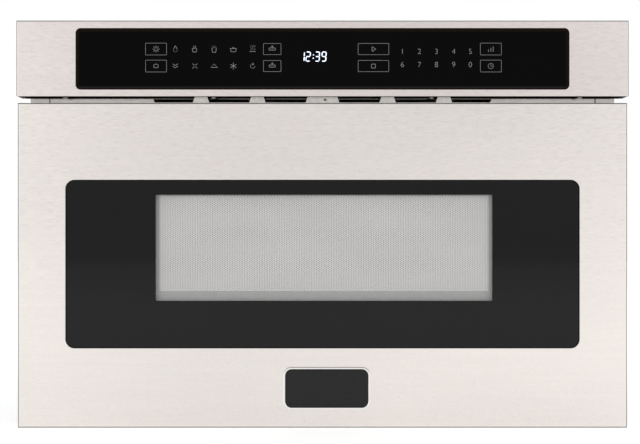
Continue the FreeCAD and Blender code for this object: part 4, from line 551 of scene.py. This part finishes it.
# ---------------------------------------------------------------- mesh helpers
def piece(name, vertices, faces, materials, slots=None):
    """New mesh object; slots gives each face's material."""
    mesh = bpy.data.meshes.new(name)
    mesh.from_pydata(vertices, [], faces)
    for material in materials:
        mesh.materials.append(material)
    if slots:
        mesh.polygons.foreach_set("material_index", slots)
    mesh.update()
    thing = bpy.data.objects.new(name, mesh)
    bpy.context.scene.collection.objects.link(thing)
    return thing


def rounded_loop(x0, x1, z0, z1, radius, y):
    """Points round a rectangle with round corners, anticlockwise as seen from the front."""
    points = []
    corners = ((x1, z1, 0), (x0, z1, 1), (x0, z0, 2), (x1, z0, 3))
    for x, z, quarter in corners:
        middle_x = x - radius if x == x1 else x + radius
        middle_z = z - radius if z == z1 else z + radius
        for step in range(GLASS_STEPS + 1):
            angle = math.pi / 2 * (quarter + step / GLASS_STEPS)
            points.append((middle_x + radius * math.cos(angle), y, middle_z + radius * math.sin(angle)))
    return points


def skin_loops(loops):
    """Points and faces of a skin over loops of equally many points, each joined to the next."""
    count = len(loops[0])
    vertices = [point for loop in loops for point in loop]
    faces = []
    for level in range(len(loops) - 1):
        first, second = level * count, (level + 1) * count
        for number in range(count):
            after = (number + 1) % count
            faces.append((first + number, first + after, second + after, second + number))
    return vertices, faces


def px_to_x(px):
    return (px - MIDDLE_PX) * PIXEL


# ---------------------------------------------------------------- drawer front
def window_edges():
    """Left, right, lower and upper edge of the clear window, from the screen behind it."""
    low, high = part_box("door_screen")
    return (low.x + WINDOW_MARGIN, high.x - WINDOW_MARGIN,
            low.z + WINDOW_MARGIN, high.z - WINDOW_MARGIN)


def drawer_glass_pane():
    """Glass with a black printed border and a clear window."""
    low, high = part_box("drawer_glass")
    left, right, bottom, top = window_edges()
    inset = GLASS_CHAMFER
    loops = [
        rounded_loop(left, right, bottom, top, WINDOW_CORNER, high.y),
        rounded_loop(low.x, high.x, low.z, high.z, GLASS_CORNER, high.y),
        rounded_loop(low.x, high.x, low.z, high.z, GLASS_CORNER, low.y + inset),
        rounded_loop(low.x + inset, high.x - inset, low.z + inset, high.z - inset,
                     GLASS_CORNER - inset, low.y),
        rounded_loop(left, right, bottom, top, WINDOW_CORNER, low.y),
    ]
    vertices, faces = skin_loops(loops)
    count = len(loops[0])
    slots = [0] * len(faces)
    faces.append(tuple(range(count)))
    faces.append(tuple(range(4 * count, 5 * count)))
    slots += [1, 1]
    border = black_glass("border_black", rgb(8, 8, 8), 0.26)
    clear = clear_glass("window_glass", 0.06)
    pane = piece("drawer_glass_pane", vertices, faces, [border, clear], slots)
    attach(pane, "drawer")
    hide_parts("drawer_glass")


def screen_holes(x0, z0, columns, rows, y):
    """Sheet of oblong cells, each round one six-sided hole; every second column is half a cell up."""
    vertices, faces = [], []
    for column in range(columns):
        left = x0 + column * HOLE_COLUMN
        right = left + HOLE_COLUMN
        middle_x = (left + right) / 2
        rise = HOLE_PITCH / 2 if column % 2 else 0.0
        for row in range(rows - (column % 2)):
            low = z0 + rise + row * HOLE_PITCH
            high = low + HOLE_PITCH
            middle_z = (low + high) / 2
            start = len(vertices)
            rim = ((right, middle_z), (right, high), (left, high),
                   (left, middle_z), (left, low), (right, low))
            vertices += [(x, y, z) for x, z in rim]
            for number in range(6):
                angle = math.pi / 3 * number
                vertices.append((middle_x + HOLE_RADIUS * math.cos(angle), y,
                                 middle_z + HOLE_RADIUS * math.sin(angle)))
            for number in range(6):
                after = (number + 1) % 6
                faces.append((start + number, start + after, start + 6 + after, start + 6 + number))
        if column % 2:
            for low, high in ((z0, z0 + rise), (z0 + rows * HOLE_PITCH - rise, z0 + rows * HOLE_PITCH)):
                start = len(vertices)
                vertices += [(left, y, low), (right, y, low), (right, y, high), (left, y, high)]
                faces.append((start, start + 1, start + 2, start + 3))
    return vertices, faces


def perforated_screen():
    """Steel sheet behind the window, with real holes and a plain rim."""
    low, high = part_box("door_screen")
    left, right, bottom, top = window_edges()
    columns = int((right - left - 2 * SCREEN_SIDE_BAND) / HOLE_COLUMN)
    rows = int((top - bottom - SCREEN_LOW_BAND) / HOLE_PITCH)
    x0 = (left + right - columns * HOLE_COLUMN) / 2
    x1 = x0 + columns * HOLE_COLUMN
    z0 = bottom + SCREEN_LOW_BAND
    z1 = z0 + rows * HOLE_PITCH
    vertices, faces = screen_holes(x0, z0, columns, rows, low.y)
    slots = [0] * len(faces)
    rim_vertices, rim_faces = skin_loops([
        rounded_loop(x0, x1, z0, z1, 0.0, low.y),
        rounded_loop(low.x, high.x, low.z, high.z, SCREEN_CORNER, low.y),
        rounded_loop(low.x, high.x, low.z, high.z, SCREEN_CORNER, high.y),
        rounded_loop(x0, x1, z0, z1, 0.0, high.y),
    ])
    start = len(vertices)
    vertices += rim_vertices
    faces += [tuple(start + number for number in face) for face in rim_faces]
    slots += [1] * len(rim_faces)
    # Painted light: the plain rim is a darker copy of the web's steel; the web's near white stands in
    # for the lit inside seen through its holes.
    rim = grained("screen_rim", rgb(194, 194, 193), rgb(204, 204, 203), (200, 200, 200),
                  (0.4, 0.5), 0.00001, metallic=0.3)
    screen = piece("perforated_screen", vertices, faces, [perforated_steel(), rim], slots)
    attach(screen, "drawer")
    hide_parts("door_screen")


# ---------------------------------------------------------------- prints: strokes
def line(*points):
    """One stroke through the points."""
    return [list(points)]


def arc(x, z, radius, start, end, steps=14):
    """Part of a circle from start to end degrees."""
    turn = math.radians(end - start) / steps
    first = math.radians(start)
    return [[(x + radius * math.cos(first + turn * n), z + radius * math.sin(first + turn * n))
             for n in range(steps + 1)]]


def outline(width, height):
    """Rectangle round the middle."""
    x, z = width / 2, height / 2
    return line((-x, -z), (x, -z), (x, z), (-x, z), (-x, -z))


def wave(x):
    """Rising steam: an upright wavy line."""
    return line(*[(x + 0.09 * math.sin(n * 0.8), -0.1 + n * 0.06) for n in range(11)])


def rays(count, first, inner, outer):
    """Short strokes round the middle, the first at an angle, between two radii."""
    strokes = []
    for number in range(count):
        turn = first + 2 * math.pi / count * number
        strokes += line((inner * math.cos(turn), inner * math.sin(turn)),
                        (outer * math.cos(turn), outer * math.sin(turn)))
    return strokes


# ---------------------------------------------------------------- prints: pictograms
# Each stands in a square of -0.5 to 0.5, which a key scales to its size.
def icon_setup():
    return arc(0, 0, 0.2, 0, 360) + rays(8, 0, 0.3, 0.46)


def icon_lock():
    return outline(0.6, 0.46) + arc(0, 0.23, 0.19, 0, 180)


def icon_drop():
    return arc(0, -0.12, 0.28, 150, 390) + line((-0.24, 0.02), (0, 0.48), (0.24, 0.02))


def icon_cup():
    cup = line((-0.34, 0.12), (-0.28, -0.42), (0.2, -0.42), (0.26, 0.12), (-0.34, 0.12))
    handle = arc(0.26, -0.12, 0.16, -80, 80)
    steam = line((-0.14, 0.24), (-0.14, 0.44)) + line((0.08, 0.24), (0.08, 0.44))
    return cup + handle + steam


def icon_bag():
    bag = line((-0.32, 0.2), (-0.24, -0.46), (0.24, -0.46), (0.32, 0.2), (-0.32, 0.2))
    return bag + arc(-0.16, 0.32, 0.12, 0, 360) + arc(0.16, 0.32, 0.12, 0, 360)


def icon_pot():
    pot = line((-0.36, 0.08), (-0.36, -0.38), (0.36, -0.38), (0.36, 0.08))
    return pot + line((-0.48, 0.08), (0.48, 0.08)) + line((-0.1, 0.2), (0.1, 0.2))


def icon_steam():
    return wave(-0.26) + wave(0) + wave(0.26) + line((-0.4, -0.34), (0.4, -0.34))


def icon_soften():
    return line((-0.34, 0.3), (0, 0.06), (0.34, 0.3)) + line((-0.34, -0.02), (0, -0.26), (0.34, -0.02))


def icon_sun():
    return arc(0, 0, 0.18, 0, 360) + rays(4, math.pi / 4, 0.3, 0.44)


def icon_dome():
    return arc(0, -0.2, 0.38, 0, 180) + line((-0.48, -0.2), (0.48, -0.2)) + line((0, 0.2), (0, 0.3))


def icon_flake():
    strokes = []
    for number in range(3):
        turn = math.pi / 3 * number + math.pi / 6
        x, z = 0.44 * math.cos(turn), 0.44 * math.sin(turn)
        strokes += line((-x, -z), (x, z))
    return strokes


def icon_again():
    return arc(0, 0, 0.32, 60, 350) + line((0.02, 0.42), (0.18, 0.27), (0.0, 0.14))


def icon_open():
    return outline(0.9, 0.3) + line((0, 0.2), (0, 0.5)) + line((-0.14, 0.36), (0, 0.22), (0.14, 0.36))


def icon_close():
    return outline(0.9, 0.3) + line((0, 0.2), (0, 0.5)) + line((-0.14, 0.34), (0, 0.48), (0.14, 0.34))


def icon_start():
    return line((-0.2, -0.34), (0.34, 0), (-0.2, 0.34), (-0.2, -0.34))


def icon_stop():
    return outline(0.56, 0.56)


def icon_power():
    strokes = []
    for x, top in ((-0.34, -0.1), (0, 0.12), (0.34, 0.36)):
        strokes += line((x, -0.36), (x, top))
    return strokes


def icon_clock():
    return arc(0, 0, 0.38, 0, 360) + line((0, 0.24), (0, 0), (0.18, -0.06))


class Print:
    """Flat strokes on the control glass, gathered into one mesh."""

    def __init__(self, y):
        self.y = y
        self.vertices = []
        self.faces = []

    def face(self, points):
        """One flat face with its corners at the points."""
        start = len(self.vertices)
        self.vertices += [(x, self.y, z) for x, z in points]
        self.faces.append(tuple(range(start, start + len(points))))

    def strokes(self, strokes, x, z, size, width=LINE_WIDTH):
        """Polylines as thin strips; each strip end is lengthened by half the width."""
        for points in strokes:
            for (x0, z0), (x1, z1) in zip(points, points[1:]):
                start = Vector((x + x0 * size, z + z0 * size))
                end = Vector((x + x1 * size, z + z1 * size))
                along = (end - start).normalized() * (width / 2)
                side = Vector((-along.y, along.x))
                self.face([start - along - side, end + along - side,
                           end + along + side, start - along + side])

    def add_mesh(self, mesh, x, z):
        """A letter's mesh, which lies in its own XY plane."""
        start = len(self.vertices)
        self.vertices += [(x + vertex.co.x, self.y, z + vertex.co.y) for vertex in mesh.vertices]
        self.faces += [tuple(start + number for number in face.vertices) for face in mesh.polygons]

    def finish(self, name, material):
        """Make the mesh, which stays with the chassis."""
        thing = piece(name, self.vertices, self.faces, [material])
        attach(thing, "chassis")


def digit_mesh(text, size):
    """Flat mesh of one plain digit, centred on the origin."""
    curve = bpy.data.curves.new("digit_" + text, "FONT")
    curve.body = text
    curve.size = size
    curve.offset = -DIGIT_THINNING
    curve.align_x = "CENTER"
    curve.align_y = "CENTER"
    thing = bpy.data.objects.new("digit_" + text, curve)
    mesh = bpy.data.meshes.new_from_object(thing)
    bpy.data.objects.remove(thing)
    return mesh


def print_level(py):
    """Height of a row that lies so many photograph pixels below the black area's upper edge."""
    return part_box("control_bezel")[1].z - py * PIXEL


def key_prints():
    """Outlined keys, pictograms and the plain digits."""
    prints = Print(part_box("control_glass")[0].y - PRINT_LIFT)
    upper, lower = (print_level(py) for py in KEY_ROW_PY)
    keys = (
        (LEFT_KEY_PX, SMALL_KEY, icon_setup, icon_lock),
        (DRAWER_KEY_PX, DRAWER_KEY, icon_open, icon_close),
        (START_KEY_PX, START_KEY, icon_start, icon_stop),
        (POWER_KEY_PX, SMALL_KEY, icon_power, icon_clock),
    )
    for px, size, upper_icon, lower_icon in keys:
        for z, icon in ((upper, upper_icon), (lower, lower_icon)):
            prints.strokes(outline(*size), px_to_x(px), z, 1.0, BOX_LINE_WIDTH)
            prints.strokes(icon(), px_to_x(px), z, ICON_SIZE)
    upper_row = (icon_drop, icon_cup, icon_bag, icon_pot, icon_steam)
    lower_row = (icon_soften, icon_sun, icon_dome, icon_flake, icon_again)
    for z, icons in ((upper, upper_row), (lower, lower_row)):
        for px, icon in zip(LEFT_ICON_PX, icons):
            prints.strokes(icon(), px_to_x(px), z, ICON_SIZE)
    for row, digits in enumerate(("12345", "67890")):
        for px, digit in zip(DIGIT_PX, digits):
            prints.add_mesh(digit_mesh(digit, DIGIT_SIZE), px_to_x(px), print_level(DIGIT_ROW_PY[row]))
    grey = grained("print_grey", rgb(148, 148, 150), rgb(164, 164, 166), (900, 900, 900),
                   (0.45, 0.55), 0.000005)
    prints.finish("key_prints", grey)


def segment_lines():
    """Ends of the seven segments in a cell 1 wide and 2 high."""
    return {
        "a": ((0, 2), (1, 2)), "b": ((1, 2), (1, 1)), "c": ((1, 1), (1, 0)), "d": ((0, 0), (1, 0)),
        "e": ((0, 0), (0, 1)), "f": ((0, 1), (0, 2)), "g": ((0, 1), (1, 1)),
    }


def clock_digits():
    """Slanted seven-segment time with two dots."""
    prints = Print(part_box("control_glass")[0].y - PRINT_LIFT)
    z0 = print_level(CLOCK_PY) - CLOCK_HEIGHT / 2
    wide = CLOCK_WIDTH - CLOCK_STROKE
    tall = (CLOCK_HEIGHT - CLOCK_STROKE) / 2

    def place(x, z):
        return x + CLOCK_SLANT * (z - z0), z

    for digit, px in CLOCK_DIGITS:
        left = px_to_x(px) + CLOCK_STROKE / 2
        if digit == "1":
            left -= wide - CLOCK_STROKE
        for name in SEGMENTS[digit]:
            (x0, n0), (x1, n1) = segment_lines()[name]
            start = Vector((left + x0 * wide, z0 + CLOCK_STROKE / 2 + n0 * tall))
            end = Vector((left + x1 * wide, z0 + CLOCK_STROKE / 2 + n1 * tall))
            along = (end - start).normalized()
            side = Vector((-along.y, along.x)) * (CLOCK_STROKE / 2)
            foot = start + along * CLOCK_POINT_GAP
            tip = end - along * CLOCK_POINT_GAP
            point = along * CLOCK_POINT
            corners = [foot, foot + point - side, tip - point - side, tip,
                       tip - point + side, foot + point + side]
            prints.face([place(*corner) for corner in corners])
    x = px_to_x(CLOCK_DOTS_PX)
    half = CLOCK_STROKE / 2
    for level in CLOCK_DOT_LEVELS:
        z = z0 + CLOCK_HEIGHT * level
        prints.face([place(x - half, z - half), place(x + half, z - half),
                     place(x + half, z + half), place(x - half, z + half)])
    prints.finish("clock_digits", glowing("clock_glow", rgb(196, 214, 255), 0.9))


# ---------------------------------------------------------------- studio
def camera():
    """Level camera straight in front, framed as the photograph is."""
    data = bpy.data.cameras.new("camera")
    data.sensor_width = SENSOR_WIDTH * 1000
    data.lens = data.sensor_width * CAMERA_DISTANCE / (IMAGE_WIDTH * PIXEL)
    thing = bpy.data.objects.new("camera", data)
    bpy.context.scene.collection.objects.link(thing)
    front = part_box("drawer_fascia")[0].y
    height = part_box("control_fascia")[1].z - (IMAGE_HEIGHT / 2 - PANEL_TOP_PY) * PIXEL
    thing.location = ((IMAGE_WIDTH / 2 - MIDDLE_PX) * PIXEL, front - CAMERA_DISTANCE, height)
    thing.rotation_euler = (math.pi / 2, 0, 0)
    bpy.context.scene.camera = thing


def lamp(name, place, size, power):
    """Large soft lamp that faces the object's middle."""
    data = bpy.data.lights.new(name, "AREA")
    data.shape = "RECTANGLE"
    data.size, data.size_y = size
    data.energy = power
    thing = bpy.data.objects.new(name, data)
    thing.location = place
    aim = Vector(LAMP_TARGET) - Vector(place)
    thing.rotation_euler = aim.to_track_quat("-Z", "Y").to_euler()
    bpy.context.scene.collection.objects.link(thing)


def strongest(tree, base, levels):
    """The largest of a base level and of the levels of the kinds of ray that are at hand."""
    path = tree.nodes.new("ShaderNodeLightPath")
    result = tree.nodes.new("ShaderNodeValue").outputs["Value"]
    result.default_value = base
    for kind, level in levels:
        scaled = tree.nodes.new("ShaderNodeMath")
        scaled.operation = "MULTIPLY"
        scaled.inputs[1].default_value = level
        tree.links.new(path.outputs[kind], scaled.inputs[0])
        larger = tree.nodes.new("ShaderNodeMath")
        larger.operation = "MAXIMUM"
        tree.links.new(result, larger.inputs[0])
        tree.links.new(scaled.outputs["Value"], larger.inputs[1])
        result = larger.outputs["Value"]
    return result


def floor():
    """Plain pale floor: it takes the shadow and is white to the camera and in gloss."""
    material = bpy.data.materials.new("floor_white")
    material.use_nodes = True
    tree = material.node_tree
    shader = tree.nodes["Principled BSDF"]
    shader.inputs["Base Color"].default_value = (FLOOR_GREY, FLOOR_GREY, FLOOR_GREY, 1)
    shader.inputs["Roughness"].default_value = 0.9
    shader.inputs["Specular IOR Level"].default_value = 0.1
    shader.inputs["Emission Color"].default_value = (1, 1, 1, 1)
    glow = strongest(tree, 0.0, FLOOR_GLOW)
    tree.links.new(glow, shader.inputs["Emission Strength"])
    half = FLOOR_HALF
    vertices = [(-half, -half, 0), (half, -half, 0), (half, half, 0), (-half, half, 0)]
    plane = piece("floor", vertices, [(0, 1, 2, 3)], [material])


def world():
    """White to the camera and through glass; a plain grey level for gloss and for the light itself."""
    world = bpy.data.worlds.new("studio")
    bpy.context.scene.world = world
    world.use_nodes = True
    tree = world.node_tree
    background = tree.nodes["Background"]
    background.inputs["Color"].default_value = (1, 1, 1, 1)
    strength = strongest(tree, WORLD_LIGHT, WORLD_LEVELS)
    tree.links.new(strength, background.inputs["Strength"])


bpy.context.scene.view_settings.view_transform = "Standard"
camera()
for settings in LAMPS:
    lamp(*settings)
floor()
world()
dress_fronts()
dress_chassis()
dress_works()
dress_drawer()
drawer_glass_pane()
perforated_screen()
key_prints()
clock_digits()
